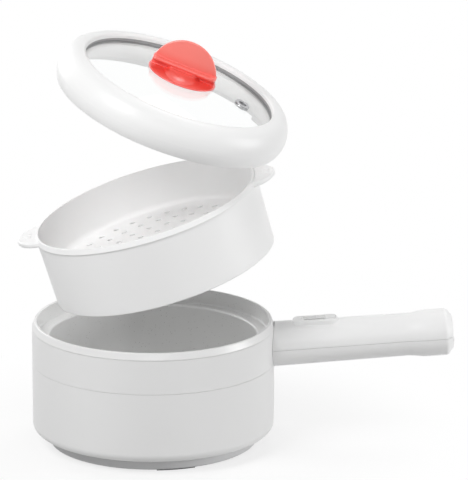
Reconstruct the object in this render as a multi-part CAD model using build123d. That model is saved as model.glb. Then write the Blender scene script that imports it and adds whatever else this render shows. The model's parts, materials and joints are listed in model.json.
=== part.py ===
from build123d import *
import math
import os

# Multicooker: a heated pot with a long handle, a steamer bowl that nests in the
# pot's mouth and a glass lid that sits on the bowl. Millimetres and degrees.
# The pot stands on Z = 0 with its axis on Z, and the handle points along +X.
# The bowl and the lid are drawn lifted off, each turned about a fixed line
# that also carries it back down to its seat.

# Clearances
HAIRLINE = 0.15
RUNNING_GAP = 0.3
SEAM_GAP = 0.15
SCREW_CLEARANCE = 0.05

# Pot and casing
POT_RADIUS = 102.5
POT_HEIGHT = 107.0
FOOT_HEIGHT = 1.7
BASE_HEIGHT = 10.0
BASE_INSET = 14.5
BASE_WALL = 2.5
BASE_FLOOR = 3.0
SHELL_WALL = 2.2
SHELL_BOTTOM_ROUNDING = 7.0
SHELL_FLANGE_WIDTH = 26.5
SEAM_DROP = 29.2
SEAM_OVERLAP = 5.0
RIM_DEPTH = 6.1
RIM_BEVEL_WIDTH = 2.1
RIM_WIDTH = 4.5
POT_WALL = 1.5
POT_BASE = 2.0
POT_CORNER = 14.0
LEDGE_DEPTH = 13.0
LEDGE_WIDTH = 10.5
HEATER_SPACE = 10.8

# Feet and base screws
FOOT_COUNT = 4
FOOT_FIRST_ANGLE = -76.0
FOOT_INSET = 7.0
FOOT_WIDTH = 6.0
FOOT_LENGTH = 32.0
BASE_SCREW_ANGLE = -31.0
BASE_SCREW_INSET = 8.0
BASE_BOSS_RADIUS = 4.0
BASE_SCREW_RADIUS = 1.5
BASE_SCREW_HEAD_RADIUS = 3.0
BASE_SCREW_HEAD = 1.6
BASE_SCREW_BITE = 7.8

# Heater
SPREADER_INSET = 21.5
SPREADER_THICKNESS = 3.0
ELEMENT_INSET = 16.0
ELEMENT_TUBE_RADIUS = 3.3
ELEMENT_GAP_ANGLE = 50.0
ELEMENT_PIN_RADIUS = 1.5
ELEMENT_PIN_LENGTH = 10.0
THERMOSTAT_RADIUS = 9.0
THERMOSTAT_HEIGHT = 6.8
TAB_REACH = 6.0
TAB_WIDTH = 6.3
TAB_SHEET = 0.8
FUSE_RADIUS = 2.0
FUSE_LENGTH = 14.0
FUSE_LEAN_IN = 0.85
CLIP_SHEET = 0.6
CLIP_WIDTH = 6.0
CLIP_FOOT = 5.0
SHIELD_SHEET = 0.8
SHIELD_DEPTH = 4.3
SHIELD_BRIM = 4.6

# Handle. Its taper ends, and its flare begins, HANDLE_TAPER short of the far end.
HANDLE_RISE = 4.25
HANDLE_DROP = 22.95
HANDLE_LIFT = 1.2
HANDLE_LENGTH = 153.5
HANDLE_TAPER = 38.5
HANDLE_FLARE = 11.0
HANDLE_FLARE_ROUNDING = 40.0
HANDLE_SWELL = 1.75
HANDLE_SHOULDER = 7.0
HANDLE_FACE_INSET = 6.0
HANDLE_DOME = 2.0
HANDLE_ROOT_RADIUS = 19.05
HANDLE_TIP_RADIUS = 18.0
HANDLE_WALL = 2.4
HANDLE_PARTING = 0.2
HANDLE_POST_RADIUS = 4.5
TIP_SCREW_INSET = 5.0
BOARD_POST_GAP = 12.5
HANDLE_SCREW_RADIUS = 1.5
HANDLE_SCREW_HEAD_RADIUS = 2.8
HANDLE_SCREW_HEAD = 1.6
HANDLE_SCREW_DEPTH = 12.0
HANDLE_SCREW_REACH = 8.0

# Steel bracket that carries the handle
BRACKET_SHEET = 2.1
BRACKET_HALF_WIDTH = 17.0
BRACKET_ABOVE = 6.6
BRACKET_BELOW = 7.8
TONGUE_WIDTH = 14.0
TONGUE_THICKNESS = 3.0
TONGUE_REACH = 48.0
TONGUE_SCREW_START = 16.0
TONGUE_SCREW_SPACING = 22.0
TONGUE_SCREW_RADIUS = 2.0
TONGUE_SCREW_HEAD_RADIUS = 3.2
TONGUE_SCREW_TIP = 1.6
RIVET_OFFSET_Y = 12.0
RIVET_OFFSET_Z = 4.6
RIVET_RADIUS = 1.8
RIVET_HEAD_RADIUS = 2.8
RIVET_HEAD = 1.5
CABLE_SLOT_WIDTH = 15.0
CABLE_SLOT_BELOW = 4.0
CABLE_SLOT_ABOVE = 7.0

# Mains inlet in the end of the handle
INLET_WIDTH = 21.0
INLET_HEIGHT = 14.0
INLET_DEPTH = 20.0
INLET_SETBACK = 2.6
INLET_RECESS_DEPTH = 13.5
INLET_WALL = 2.2
INLET_CORNER = 5.0
INLET_FLANGE = 1.8
PIN_RADIUS = 2.0
PIN_SPACING = 9.0
PIN_LENGTH = 19.0
PIN_SETBACK = 3.5

# Heat control on the handle
PAD_START = 17.0
PAD_LENGTH = 38.0
PAD_WIDTH = 18.0
PAD_RAISE = 1.2
PAD_CORNER = 6.0
PAD_ROUNDING = 1.1
TRACK_DEPTH = 1.0
SLIDER_END_MARGIN = 6.0
SLIDER_TRAVEL = 20.0
SLIDER_LENGTH = 9.0
SLIDER_WIDTH = 10.0
SLIDER_STAND = 0.7
SLIDER_CORNER = 2.2
SLIDER_ROUNDING = 0.6
STEM_LENGTH = 4.0
STEM_WIDTH = 3.4
SWITCH_WIDTH = 13.0
SWITCH_HEIGHT = 7.0
SWITCH_GROOVE = 2.0
SWITCH_MARGIN = 3.0
BOARD_MARGIN = 5.0
BOARD_WIDTH = 25.0
BOARD_THICKNESS = 1.6
BOARD_CLEARANCE = 2.5
BOARD_RAIL = 2.0

# Wires
WIRE_RADIUS = 1.1
WIRE_BEND = 6.0
WIRE_END_GAP = 0.3
INLET_WIRE_OFFSET = 7.0
HEATER_WIRE_OFFSET = 5.0
WIRE_DROP_GAP = 3.0

# Steamer bowl
STEAMER_HEIGHT = 61.3
STEAMER_NEST_CLEARANCE = 2.8
STEAMER_FLARE = 1.1
STEAMER_BAND_STEP = 0.7
STEAMER_BAND_BEVEL = 1.8
STEAMER_BAND_HEIGHT = 4.6
STEAMER_WALL = 2.2
STEAMER_CREST = 1.3
STEAMER_FLOOR = 2.2
STEAMER_FLOOR_RISE = 22.8
STEAMER_FLOOR_ROUNDING = 4.0
STEAMER_FOOT_ROUNDING = 0.9
EAR_LENGTH = 15.5
EAR_RADIUS = 26.0
EAR_THICKNESS = 4.2
EAR_DROP = 1.3
EAR_ROUNDING = 1.5
HOLE_RADIUS = 2.4
HOLE_RING_PITCH = 15.0
HOLE_RING_COUNT = 5
HOLES_PER_RING_STEP = 6

# Lid, with heights measured from the lower edge of its inner lip
LID_SKIRT_OVERHANG = 2.2
LID_BULGE = 3.3
LID_RING_WIDTH = 18.4
LID_LIP = 4.3
LID_LIP_WIDTH = 2.3
LID_CROWN_RADIUS = 14.0
LID_WIDEST_DROP = 15.4
LID_SEAT_DROP = 26.6
LID_WALL = 2.4
LID_INNER_FLARE = 5.7
LID_INNER_DROP = 21.5
LID_SEAT_LAP = 0.6
LUG_COUNT = 3
LUG_FIRST_ANGLE = -80.0
LUG_LENGTH = 16.0
LUG_CLEARANCE = 1.6
LUG_WALL = 1.6
LUG_DROP = 1.6
LID_SPIN = -9.5
GLASS_OVERLAP = 2.7
GLASS_THICKNESS = 3.5
GLASS_EDGE_DROP = 3.0
GLASS_CROWN = 9.4
GASKET_WIDTH = 4.0
GASKET_LIP = 1.5
VENT_INSET = 29.5
VENT_BORE_RADIUS = 3.4
VENT_SHEET = 0.7
VENT_FLANGE_RADIUS = 6.4

# Knob, with heights measured from the crown of the glass
KNOB_FOOT_RADIUS = 29.5
KNOB_FOOT_DROP = 1.6
KNOB_FOOT_EDGE = 1.4
KNOB_FOOT_ROUNDING = 0.8
KNOB_NECK_FOOT_RADIUS = 16.0
KNOB_NECK_FOOT_RISE = 0.8
KNOB_NECK_RADIUS = 12.8
KNOB_NECK_SWEEP = 5.0
KNOB_NECK_ROUNDING = 3.0
KNOB_NECK_SINK = 0.6
KNOB_FIN_RADIUS = 28.0
KNOB_FIN_CENTRE = 1.35
KNOB_FIN_THICKNESS = 8.0
KNOB_FIN_EDGE = 2.4
KNOB_FIN_ROUNDING = 0.9
KNOB_BEAD_HEIGHT = 6.0
KNOB_BEAD_DEPTH = 14.0
KNOB_BEAD_THICKNESS = 4.4
KNOB_SCREW_RADIUS = 2.0
KNOB_SCREW_REACH = 6.0
KNOB_SCREW_HEAD_RADIUS = 4.5
KNOB_SCREW_HEAD = 2.4
KNOB_WASHER_RADIUS = 9.0
KNOB_WASHER = 1.2
GLASS_BORE_CLEARANCE = 1.5

# The lines about which the bowl and the lid are lifted, given for the seated
# stack. The lid's line is carried along with the bowl.
STEAMER_LIFT_POINT = (-192.06, 0.0, 160.49)
STEAMER_LIFT_DIRECTION = (0.1679, -0.9855, -0.0239)
STEAMER_LIFT_ANGLE = 16.445
LID_LIFT_POINT = (131.72, 0.0, 127.97)
LID_LIFT_DIRECTION = (0.1054, 0.9944, 0.0033)
LID_LIFT_ANGLE = 36.149

# Heights and radii that follow from the sizes above
base_top = FOOT_HEIGHT + BASE_HEIGHT
base_floor_top = FOOT_HEIGHT + BASE_FLOOR
base_radius = POT_RADIUS - BASE_INSET
skirt_height = POT_HEIGHT - RIM_DEPTH
shell_top = skirt_height - SEAM_GAP
shell_inner = POT_RADIUS - SHELL_WALL
seam_height = shell_top - SEAM_DROP
flange_top = base_top + SHELL_WALL
flange_inner = POT_RADIUS - SHELL_FLANGE_WIDTH
mouth_radius = POT_RADIUS - RIM_WIDTH
pot_outer = mouth_radius + POT_WALL
ledge_height = POT_HEIGHT - LEDGE_DEPTH
chamber_radius = mouth_radius - LEDGE_WIDTH
pot_underside = base_top + HEATER_SPACE
pot_floor = pot_underside + POT_BASE
spreader_radius = chamber_radius - SPREADER_INSET
spreader_underside = pot_underside - SPREADER_THICKNESS
element_radius = spreader_radius - ELEMENT_INSET
element_height = spreader_underside - ELEMENT_TUBE_RADIUS - HAIRLINE
element_inner = element_radius - ELEMENT_TUBE_RADIUS
fuse_offset = (THERMOSTAT_RADIUS + element_inner) / 2 - FUSE_LEAN_IN

handle_height = POT_HEIGHT - HANDLE_DROP
tongue_screw_places = (TONGUE_SCREW_START, TONGUE_SCREW_START + TONGUE_SCREW_SPACING)
bracket_outer = shell_inner - HAIRLINE
bracket_inner = bracket_outer - BRACKET_SHEET
handle_end_radius = HANDLE_TIP_RADIUS + HANDLE_SWELL
inlet_face = HANDLE_LENGTH - INLET_SETBACK
inlet_back = inlet_face - INLET_DEPTH
pin_back = inlet_face - PIN_SETBACK - PIN_LENGTH
pin_offsets = (-PIN_SPACING / 2, PIN_SPACING / 2)
pad_end = PAD_START + PAD_LENGTH
pad_top = HANDLE_LIFT + HANDLE_ROOT_RADIUS + PAD_RAISE
slider_place = pad_end - SLIDER_END_MARGIN
slider_first = slider_place - SLIDER_TRAVEL
switch_start = slider_first - STEM_LENGTH / 2 - SWITCH_MARGIN
switch_end = slider_place + STEM_LENGTH / 2 + SWITCH_MARGIN
board_start = switch_start - 2 * BOARD_MARGIN
board_end = switch_end + BOARD_MARGIN
board_bottom = TONGUE_THICKNESS / 2 + BOARD_CLEARANCE
board_middle = board_bottom + BOARD_THICKNESS / 2
board_top = board_bottom + BOARD_THICKNESS
switch_top = board_top + SWITCH_HEIGHT
taper_end = HANDLE_LENGTH - HANDLE_TAPER
handle_screw_places = (
    board_end + BOARD_POST_GAP + HANDLE_POST_RADIUS,
    taper_end - TIP_SCREW_INSET,
)

steamer_seat = ledge_height + RUNNING_GAP
steamer_bottom_radius = mouth_radius - STEAMER_NEST_CLEARANCE
steamer_top_radius = steamer_bottom_radius + STEAMER_FLARE
steamer_band_radius = steamer_top_radius + STEAMER_BAND_STEP
steamer_crest_radius = steamer_band_radius - STEAMER_BAND_BEVEL
steamer_mouth_radius = steamer_crest_radius - STEAMER_CREST
steamer_floor_top = STEAMER_FLOOR_RISE + STEAMER_FLOOR
ear_centre = steamer_band_radius + EAR_LENGTH - EAR_RADIUS

lid_seat = steamer_seat + STEAMER_HEIGHT + RUNNING_GAP
lid_zero = lid_seat + LID_SEAT_DROP
lid_skirt_radius = steamer_crest_radius + LID_SKIRT_OVERHANG
lid_radius = lid_skirt_radius + LID_BULGE
lid_opening_radius = lid_radius - LID_RING_WIDTH
lid_crest_radius = lid_opening_radius + LID_LIP_WIDTH
lid_seat_inner = steamer_mouth_radius - LID_SEAT_LAP
lug_radius = steamer_mouth_radius - LUG_CLEARANCE
glass_radius = lid_opening_radius + GLASS_OVERLAP
glass_rise = GLASS_CROWN + GLASS_EDGE_DROP
glass_sphere = (glass_radius**2 + glass_rise**2) / (2 * glass_rise)
gasket_bottom = -GLASS_EDGE_DROP - GLASS_THICKNESS - GASKET_LIP
vent_lean = math.degrees(math.asin((glass_radius - VENT_INSET) / glass_sphere))
knob_underside = -GLASS_THICKNESS - 2 * HAIRLINE

handle_place = Location((POT_RADIUS, 0, handle_height), (0, -HANDLE_RISE, 0))
glass_crown_place = Pos(0, 0, GLASS_CROWN)
glass_centre_place = Pos(0, 0, GLASS_CROWN - glass_sphere)
vent_place = glass_centre_place * Rot(0, vent_lean, 0) * Pos(0, 0, glass_sphere)
steamer_lift_line = Axis(STEAMER_LIFT_POINT, STEAMER_LIFT_DIRECTION)
lid_lift_line = Axis(LID_LIFT_POINT, LID_LIFT_DIRECTION)


# Shapes that several pieces use


def outline_face(corners):
    """Face inside a closed outline. Each corner is (across, up, rounding)."""
    points = [(across, up) for across, up, _ in corners]
    roundings = [rounding for _, _, rounding in corners]
    return make_face(FilletPolyline(*points, radius=roundings, close=True))


def turned(*corners):
    """Solid of revolution about Z. Each corner is (radius, height, rounding)."""
    return revolve(Plane.XZ * outline_face(corners), Axis.Z)


def turned_along_x(*corners):
    """Solid of revolution about X. Each corner is (place along X, radius, rounding)."""
    return revolve(outline_face(corners), Axis.X)


def rod(radius, bottom, top, x=0.0, y=0.0):
    """Upright cylinder between two heights."""
    return Pos(x, y, (bottom + top) / 2) * Cylinder(radius, top - bottom)


def rod_along_x(radius, start, end, y=0.0, z=0.0):
    """Cylinder along X between two places."""
    return Pos((start + end) / 2, y, z) * Rot(0, 90, 0) * Cylinder(radius, end - start)


def block(x_range, y_range, z_range):
    """Box between two corners, given as three ranges."""
    ranges = (x_range, y_range, z_range)
    centre = [(low + high) / 2 for low, high in ranges]
    size = [high - low for low, high in ranges]
    return Pos(*centre) * Box(*size)


def wire(points):
    """Insulated lead along straight runs with rounded bends."""
    path = FilletPolyline(*points, radius=[WIRE_BEND] * (len(points) - 2))
    return sweep(Plane(path @ 0, z_dir=path % 0) * Circle(WIRE_RADIUS), path=path)


def on_ring(radius, first_angle, count):
    """Points evenly spaced on a ring."""
    angles = [math.radians(first_angle + 360.0 * index / count) for index in range(count)]
    return [(radius * math.cos(angle), radius * math.sin(angle)) for angle in angles]


# Pot, casing and base


def make_inner_pot():
    """Cooking pot with a ledge for the bowl and a rim rolled out over the casing."""
    return turned(
        (0, pot_floor, 0),
        (chamber_radius, pot_floor, POT_CORNER),
        (chamber_radius, ledge_height, POT_WALL),
        (mouth_radius, ledge_height, POT_WALL),
        (mouth_radius, POT_HEIGHT, POT_WALL / 2),
        (POT_RADIUS - RIM_BEVEL_WIDTH, POT_HEIGHT, POT_WALL / 2),
        (POT_RADIUS, skirt_height + POT_WALL / 2, POT_WALL / 4),
        (POT_RADIUS, skirt_height, 0),
        (POT_RADIUS - POT_WALL, skirt_height, 0),
        (pot_outer, POT_HEIGHT - RIM_BEVEL_WIDTH, 0),
        (pot_outer, ledge_height - POT_WALL, POT_WALL),
        (chamber_radius + POT_WALL, ledge_height - POT_WALL, POT_WALL),
        (chamber_radius + POT_WALL, pot_underside, POT_CORNER),
        (0, pot_underside, 0),
    )


def make_pot_seal():
    """Wedge-shaped silicone ring between the casing and the rolled rim."""
    inner = pot_outer + HAIRLINE
    outer = POT_RADIUS - POT_WALL - HAIRLINE
    return turned(
        (inner, shell_top, 0),
        (outer, shell_top, 0),
        (inner, POT_HEIGHT - RIM_BEVEL_WIDTH - SEAM_GAP - POT_WALL / 2, 0),
    )


def cable_slot():
    """Opening through the casing wall for the tongue and the wires."""
    slot = block(
        (-2 * SHELL_WALL - BRACKET_SHEET, 2 * SHELL_WALL),
        (-CABLE_SLOT_WIDTH / 2, CABLE_SLOT_WIDTH / 2),
        (-CABLE_SLOT_BELOW, CABLE_SLOT_ABOVE),
    )
    return handle_place * slot


def rivet_places():
    """Y and Z of the four bracket rivets."""
    return [
        (side * RIVET_OFFSET_Y, handle_height + level * RIVET_OFFSET_Z)
        for side in (-1, 1)
        for level in (-1, 1)
    ]


def rivet_holes():
    """Holes for the bracket rivets, through casing and bracket."""
    start = bracket_inner - RIVET_HEAD - BRACKET_SHEET
    end = POT_RADIUS + RIVET_HEAD
    radius = RIVET_RADIUS + SCREW_CLEARANCE
    return [rod_along_x(radius, start, end, y, z) for y, z in rivet_places()]


def make_upper_shell():
    """Upper casing ring, with a spigot that drops inside the lower casing."""
    spigot_outer = shell_inner - HAIRLINE
    spigot_inner = spigot_outer - SHELL_WALL
    spigot_bottom = seam_height - SEAM_OVERLAP
    seam_top = seam_height + SEAM_GAP / 2
    shelf = shell_top - SHELL_WALL
    shell = turned(
        (POT_RADIUS, seam_top, 0),
        (POT_RADIUS, shell_top, 0),
        (pot_outer + HAIRLINE, shell_top, 0),
        (pot_outer + HAIRLINE, shelf, 0),
        (shell_inner, shelf, 0),
        (shell_inner, seam_top + SHELL_WALL, 0),
        (spigot_inner, seam_top + SHELL_WALL, 0),
        (spigot_inner, spigot_bottom, 0),
        (spigot_outer, spigot_bottom, 0),
        (spigot_outer, seam_top, 0),
    )
    return shell - cable_slot() - rivet_holes()


def base_screw_points():
    """Where the base screws stand."""
    return on_ring(base_radius - BASE_SCREW_INSET, BASE_SCREW_ANGLE, FOOT_COUNT)


def make_lower_shell():
    """Lower casing with a flange underneath and bosses for the base screws."""
    seam_bottom = seam_height - SEAM_GAP / 2
    shell = turned(
        (POT_RADIUS, seam_bottom, 0),
        (POT_RADIUS, base_top, SHELL_BOTTOM_ROUNDING),
        (flange_inner, base_top, 0),
        (flange_inner, flange_top, 0),
        (shell_inner, flange_top, SHELL_BOTTOM_ROUNDING - SHELL_WALL),
        (shell_inner, seam_bottom, 0),
    )
    boss_bottom = base_floor_top + HAIRLINE
    pilot_radius = BASE_SCREW_RADIUS + SCREW_CLEARANCE
    pilot_top = base_floor_top + BASE_SCREW_BITE
    points = base_screw_points()
    bosses = [rod(BASE_BOSS_RADIUS, boss_bottom, flange_top, x, y) for x, y in points]
    pilots = [rod(pilot_radius, boss_bottom, pilot_top, x, y) for x, y in points]
    return shell + bosses - pilots


def make_base_plate():
    """Grey bottom cover, a shallow tray with sunk screw holes."""
    inner = base_radius - BASE_WALL
    plate = turned(
        (0, FOOT_HEIGHT, 0),
        (base_radius, FOOT_HEIGHT, BASE_WALL / 2),
        (base_radius, base_top, 0),
        (inner, base_top, 0),
        (inner, base_floor_top, BASE_WALL / 2),
        (0, base_floor_top, 0),
    )
    shank_room = BASE_SCREW_RADIUS + RUNNING_GAP
    head_room = BASE_SCREW_HEAD_RADIUS + RUNNING_GAP
    head_top = FOOT_HEIGHT + BASE_SCREW_HEAD + HAIRLINE
    for x, y in base_screw_points():
        plate -= rod(shank_room, 0, base_floor_top, x, y)
        plate -= rod(head_room, 0, head_top, x, y)
    return plate


def make_rubber_feet():
    """Arc-shaped rubber feet under the bottom cover."""
    ring_radius = base_radius - FOOT_INSET
    span = math.degrees(FOOT_LENGTH / ring_radius)
    section = Plane.XZ * Pos(ring_radius, FOOT_HEIGHT / 2) * Rectangle(FOOT_WIDTH, FOOT_HEIGHT)
    foot = Rot(0, 0, FOOT_FIRST_ANGLE - span / 2) * revolve(section, Axis.Z, span)
    return [Rot(0, 0, 360.0 * index / FOOT_COUNT) * foot for index in range(FOOT_COUNT)]


def make_base_screws():
    """Pan-head screws from the bottom cover into the lower casing."""
    head_top = FOOT_HEIGHT + BASE_SCREW_HEAD
    tip = base_floor_top + BASE_SCREW_BITE - SCREW_CLEARANCE
    screws = []
    for x, y in base_screw_points():
        head = rod(BASE_SCREW_HEAD_RADIUS, FOOT_HEIGHT, head_top, x, y)
        screws.append(head + rod(BASE_SCREW_RADIUS, head_top, tip, x, y))
    return screws


# Heater


def make_heat_spreader():
    """Aluminium plate against the underside of the pot."""
    return rod(spreader_radius, spreader_underside, pot_underside)


def make_heating_element():
    """Sheathed heater ring, open towards the handle, with a cold pin at each end."""
    section = Plane.XZ * Pos(element_radius, element_height) * Circle(ELEMENT_TUBE_RADIUS)
    half_gap = ELEMENT_GAP_ANGLE / 2
    tube = Rot(0, 0, half_gap) * revolve(section, Axis.Z, 360.0 - ELEMENT_GAP_ANGLE)
    for side in (-1, 1):
        pin = Pos(element_radius, -side * ELEMENT_PIN_LENGTH / 2, element_height)
        pin = pin * Rot(90, 0, 0) * Cylinder(ELEMENT_PIN_RADIUS, ELEMENT_PIN_LENGTH)
        tube += Rot(0, 0, side * half_gap) * pin
    return tube


def make_thermostat():
    """Disc thermostat under the centre of the plate, with two spade tabs."""
    top = spreader_underside - HAIRLINE
    bottom = top - THERMOSTAT_HEIGHT
    half_span = THERMOSTAT_RADIUS + TAB_REACH
    tab_bottom = bottom + THERMOSTAT_HEIGHT / 3
    tabs = block(
        (-half_span, half_span),
        (-TAB_WIDTH / 2, TAB_WIDTH / 2),
        (tab_bottom, tab_bottom + TAB_SHEET),
    )
    return rod(THERMOSTAT_RADIUS, bottom, top) + tabs


def fuse_place():
    """Centre of the fuse, which lies along Y with its clip flat against the plate."""
    height = spreader_underside - 2 * HAIRLINE - FUSE_RADIUS - CLIP_SHEET
    return Pos(-fuse_offset, 0, height) * Rot(90, 0, 0)


def make_thermal_fuse():
    """Cut-out fuse under the plate."""
    return fuse_place() * Cylinder(FUSE_RADIUS, FUSE_LENGTH)


def make_fuse_clip():
    """Sheet clip that holds the fuse up against the plate."""
    bore = FUSE_RADIUS + HAIRLINE
    outer = bore + CLIP_SHEET
    top = spreader_underside - HAIRLINE
    reach = outer + CLIP_FOOT
    foot = block(
        (-fuse_offset - reach, -fuse_offset + reach),
        (-CLIP_WIDTH / 2, CLIP_WIDTH / 2),
        (top - CLIP_SHEET, top),
    )
    ring = fuse_place() * Cylinder(outer, CLIP_WIDTH)
    return ring + foot - fuse_place() * Cylinder(bore, CLIP_WIDTH)


def make_heat_shield():
    """Reflector tray that hangs by its brim on the casing's flange."""
    radius = flange_inner - RUNNING_GAP
    floor = flange_top - SHIELD_DEPTH
    return turned(
        (0, floor, 0),
        (radius, floor, 2 * SHIELD_SHEET),
        (radius, flange_top, 0),
        (radius + SHIELD_BRIM, flange_top, 0),
        (radius + SHIELD_BRIM, flange_top + SHIELD_SHEET, 0),
        (radius - SHIELD_SHEET, flange_top + SHIELD_SHEET, SHIELD_SHEET / 2),
        (radius - SHIELD_SHEET, floor + SHIELD_SHEET, SHIELD_SHEET),
        (0, floor + SHIELD_SHEET, 0),
    )


# Handle, drawn along X from the casing wall and then set at its rise


def make_handle_bracket():
    """Steel plate inside the casing wall, with a tongue along the handle."""
    heights = (handle_height - BRACKET_BELOW, handle_height + BRACKET_ABOVE)
    plate = rod(bracket_outer, *heights) - rod(bracket_inner, *heights)
    plate &= block((0, POT_RADIUS), (-BRACKET_HALF_WIDTH, BRACKET_HALF_WIDTH), heights)
    window = block(
        (-POT_RADIUS / 4, POT_RADIUS / 4),
        (-CABLE_SLOT_WIDTH / 2, CABLE_SLOT_WIDTH / 2),
        (TONGUE_THICKNESS / 2, 2 * CABLE_SLOT_ABOVE),
    )
    tongue = block(
        (bracket_inner - POT_RADIUS, TONGUE_REACH),
        (-TONGUE_WIDTH / 2, TONGUE_WIDTH / 2),
        (-TONGUE_THICKNESS / 2, TONGUE_THICKNESS / 2),
    )
    bore = TONGUE_SCREW_RADIUS + SCREW_CLEARANCE
    holes = [rod(bore, -TONGUE_THICKNESS, TONGUE_THICKNESS, x) for x in tongue_screw_places]
    plate = plate - handle_place * window - rivet_holes()
    return plate + handle_place * (tongue - holes)


def make_bracket_rivets():
    """Rivets through the casing wall and the bracket."""
    near = RIVET_OFFSET_Y - RIVET_HEAD_RADIUS
    far = RIVET_OFFSET_Y + RIVET_HEAD_RADIUS
    outside = math.sqrt(POT_RADIUS**2 - near**2) + HAIRLINE
    inside = math.sqrt(bracket_inner**2 - far**2) - HAIRLINE
    rivets = []
    for y, z in rivet_places():
        rivet = rod_along_x(RIVET_RADIUS, inside, outside, y, z)
        rivet += rod_along_x(RIVET_HEAD_RADIUS, inside - RIVET_HEAD, inside, y, z)
        rivet += rod_along_x(RIVET_HEAD_RADIUS, outside, outside + RIVET_HEAD, y, z)
        rivets.append(rivet)
    return rivets


def handle_form(inset):
    """The handle as one solid, a long taper with a flared and domed end, inset from its outside."""
    start = -POT_RADIUS / 8
    end = HANDLE_LENGTH - inset
    end_radius = handle_end_radius - inset
    form = turned_along_x(
        (start, 0, 0),
        (end, 0, 0),
        (end - HANDLE_DOME, handle_end_radius - HANDLE_FACE_INSET, HANDLE_SHOULDER / 2),
        (HANDLE_LENGTH - HANDLE_SHOULDER, end_radius, HANDLE_SHOULDER / 2),
        (taper_end + HANDLE_FLARE, end_radius, HANDLE_FLARE_ROUNDING),
        (taper_end, HANDLE_TIP_RADIUS - inset, HANDLE_FLARE_ROUNDING),
        (0, HANDLE_ROOT_RADIUS - inset, 0),
        (start, HANDLE_ROOT_RADIUS - inset, 0),
    )
    return Pos(0, 0, HANDLE_LIFT) * form


def handle_half(side, fittings):
    """One half of the handle's shell, with the inlet's opening and its inside fittings joined on."""
    reach = 2 * HANDLE_ROOT_RADIUS
    heights = sorted((side * HANDLE_PARTING / 2, side * reach))
    half_space = block((-reach, HANDLE_LENGTH + reach), (-reach, reach), heights)
    shell = handle_form(0) - handle_form(HANDLE_WALL)
    shell -= inlet_bar(HAIRLINE, inlet_face - HANDLE_SHOULDER, HANDLE_LENGTH + HANDLE_WALL)
    inside = handle_form(HANDLE_WALL / 2)
    for fitting in fittings:
        shell += fitting & inside
    return shell & half_space


def against_pot(piece):
    """Set a handle piece at its rise, cut to the round of the casing."""
    return handle_place * piece - Cylinder(POT_RADIUS + HAIRLINE, 4 * POT_HEIGHT)


def stem_slot():
    """Slot that the slider's stem runs in."""
    stem_half = STEM_LENGTH / 2 + RUNNING_GAP
    width_half = STEM_WIDTH / 2 + RUNNING_GAP
    return block(
        (slider_first - stem_half, slider_place + stem_half),
        (-width_half, width_half),
        (switch_top, 2 * pad_top),
    )


def control_pad():
    """Raised land on top of the handle, with a sunk track for the slider."""
    pad = block((PAD_START, pad_end), (-PAD_WIDTH / 2, PAD_WIDTH / 2), (0, pad_top))
    pad = fillet(pad.edges().filter_by(Axis.Z), PAD_CORNER)
    pad = fillet(pad.faces().sort_by(Axis.Z)[-1].edges(), PAD_ROUNDING)
    return pad - handle_form(HANDLE_WALL / 2)


def slider_track():
    """Sunk track that the slider's tab runs in."""
    half_length = SLIDER_LENGTH / 2 + RUNNING_GAP
    half_width = SLIDER_WIDTH / 2 + RUNNING_GAP
    track = block(
        (slider_first - half_length, slider_place + half_length),
        (-half_width, half_width),
        (pad_top - TRACK_DEPTH, 2 * pad_top),
    )
    return fillet(track.edges().filter_by(Axis.Z), SLIDER_CORNER)


def make_handle_upper_half():
    """Upper handle shell, with screw posts, rails for the board and the raised land of the slider."""
    fittings = [rod(HANDLE_POST_RADIUS, 0, 2 * HANDLE_ROOT_RADIUS, x) for x in handle_screw_places]
    rail_bottom = board_top + HAIRLINE
    for side in (-1, 1):
        rail_y = sorted((side * (BOARD_WIDTH / 2 - BOARD_RAIL), side * 2 * HANDLE_ROOT_RADIUS))
        rail = block((board_start, board_end), rail_y, (rail_bottom, rail_bottom + BOARD_RAIL))
        fittings.append(rail)
    pilot = HANDLE_SCREW_RADIUS + SCREW_CLEARANCE
    pilots = [rod(pilot, 0, HANDLE_SCREW_REACH, x) for x in handle_screw_places]
    shell = handle_half(1, fittings) + control_pad()
    return against_pot(shell - pilots - slider_track() - stem_slot())


def screw_way(x, radius, head_radius):
    """Stepped hole for a screw that comes up through the lower shell."""
    hole = rod(radius + HAIRLINE, -HANDLE_SCREW_DEPTH, HANDLE_POST_RADIUS, x)
    head = rod(head_radius + HAIRLINE, -2 * HANDLE_ROOT_RADIUS, -HANDLE_SCREW_DEPTH, x)
    return hole + head


def make_handle_lower_half():
    """Lower handle shell, with posts for the handle and tongue screws."""
    post_bottom = -2 * HANDLE_ROOT_RADIUS
    tongue_post_top = -TONGUE_THICKNESS / 2 - HAIRLINE
    fittings = [rod(HANDLE_POST_RADIUS, post_bottom, 0, x) for x in handle_screw_places]
    for x in tongue_screw_places:
        fittings.append(rod(HANDLE_POST_RADIUS, post_bottom, tongue_post_top, x))
    shell = handle_half(-1, fittings)
    for x in handle_screw_places:
        shell -= screw_way(x, HANDLE_SCREW_RADIUS, HANDLE_SCREW_HEAD_RADIUS)
    for x in tongue_screw_places:
        shell -= screw_way(x, TONGUE_SCREW_RADIUS, TONGUE_SCREW_HEAD_RADIUS)
    return against_pot(shell)


def handle_screw(x, radius, head_radius, tip):
    """One screw, head down, set square to the handle."""
    seat = -HANDLE_SCREW_DEPTH - HAIRLINE
    head = rod(head_radius, seat - HANDLE_SCREW_HEAD, seat, x)
    return handle_place * (head + rod(radius, seat, tip, x))


def make_handle_screws():
    """Screws that close the two halves of the handle."""
    tip = HANDLE_SCREW_REACH - SCREW_CLEARANCE
    sizes = (HANDLE_SCREW_RADIUS, HANDLE_SCREW_HEAD_RADIUS, tip)
    return [handle_screw(x, *sizes) for x in handle_screw_places]


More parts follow.
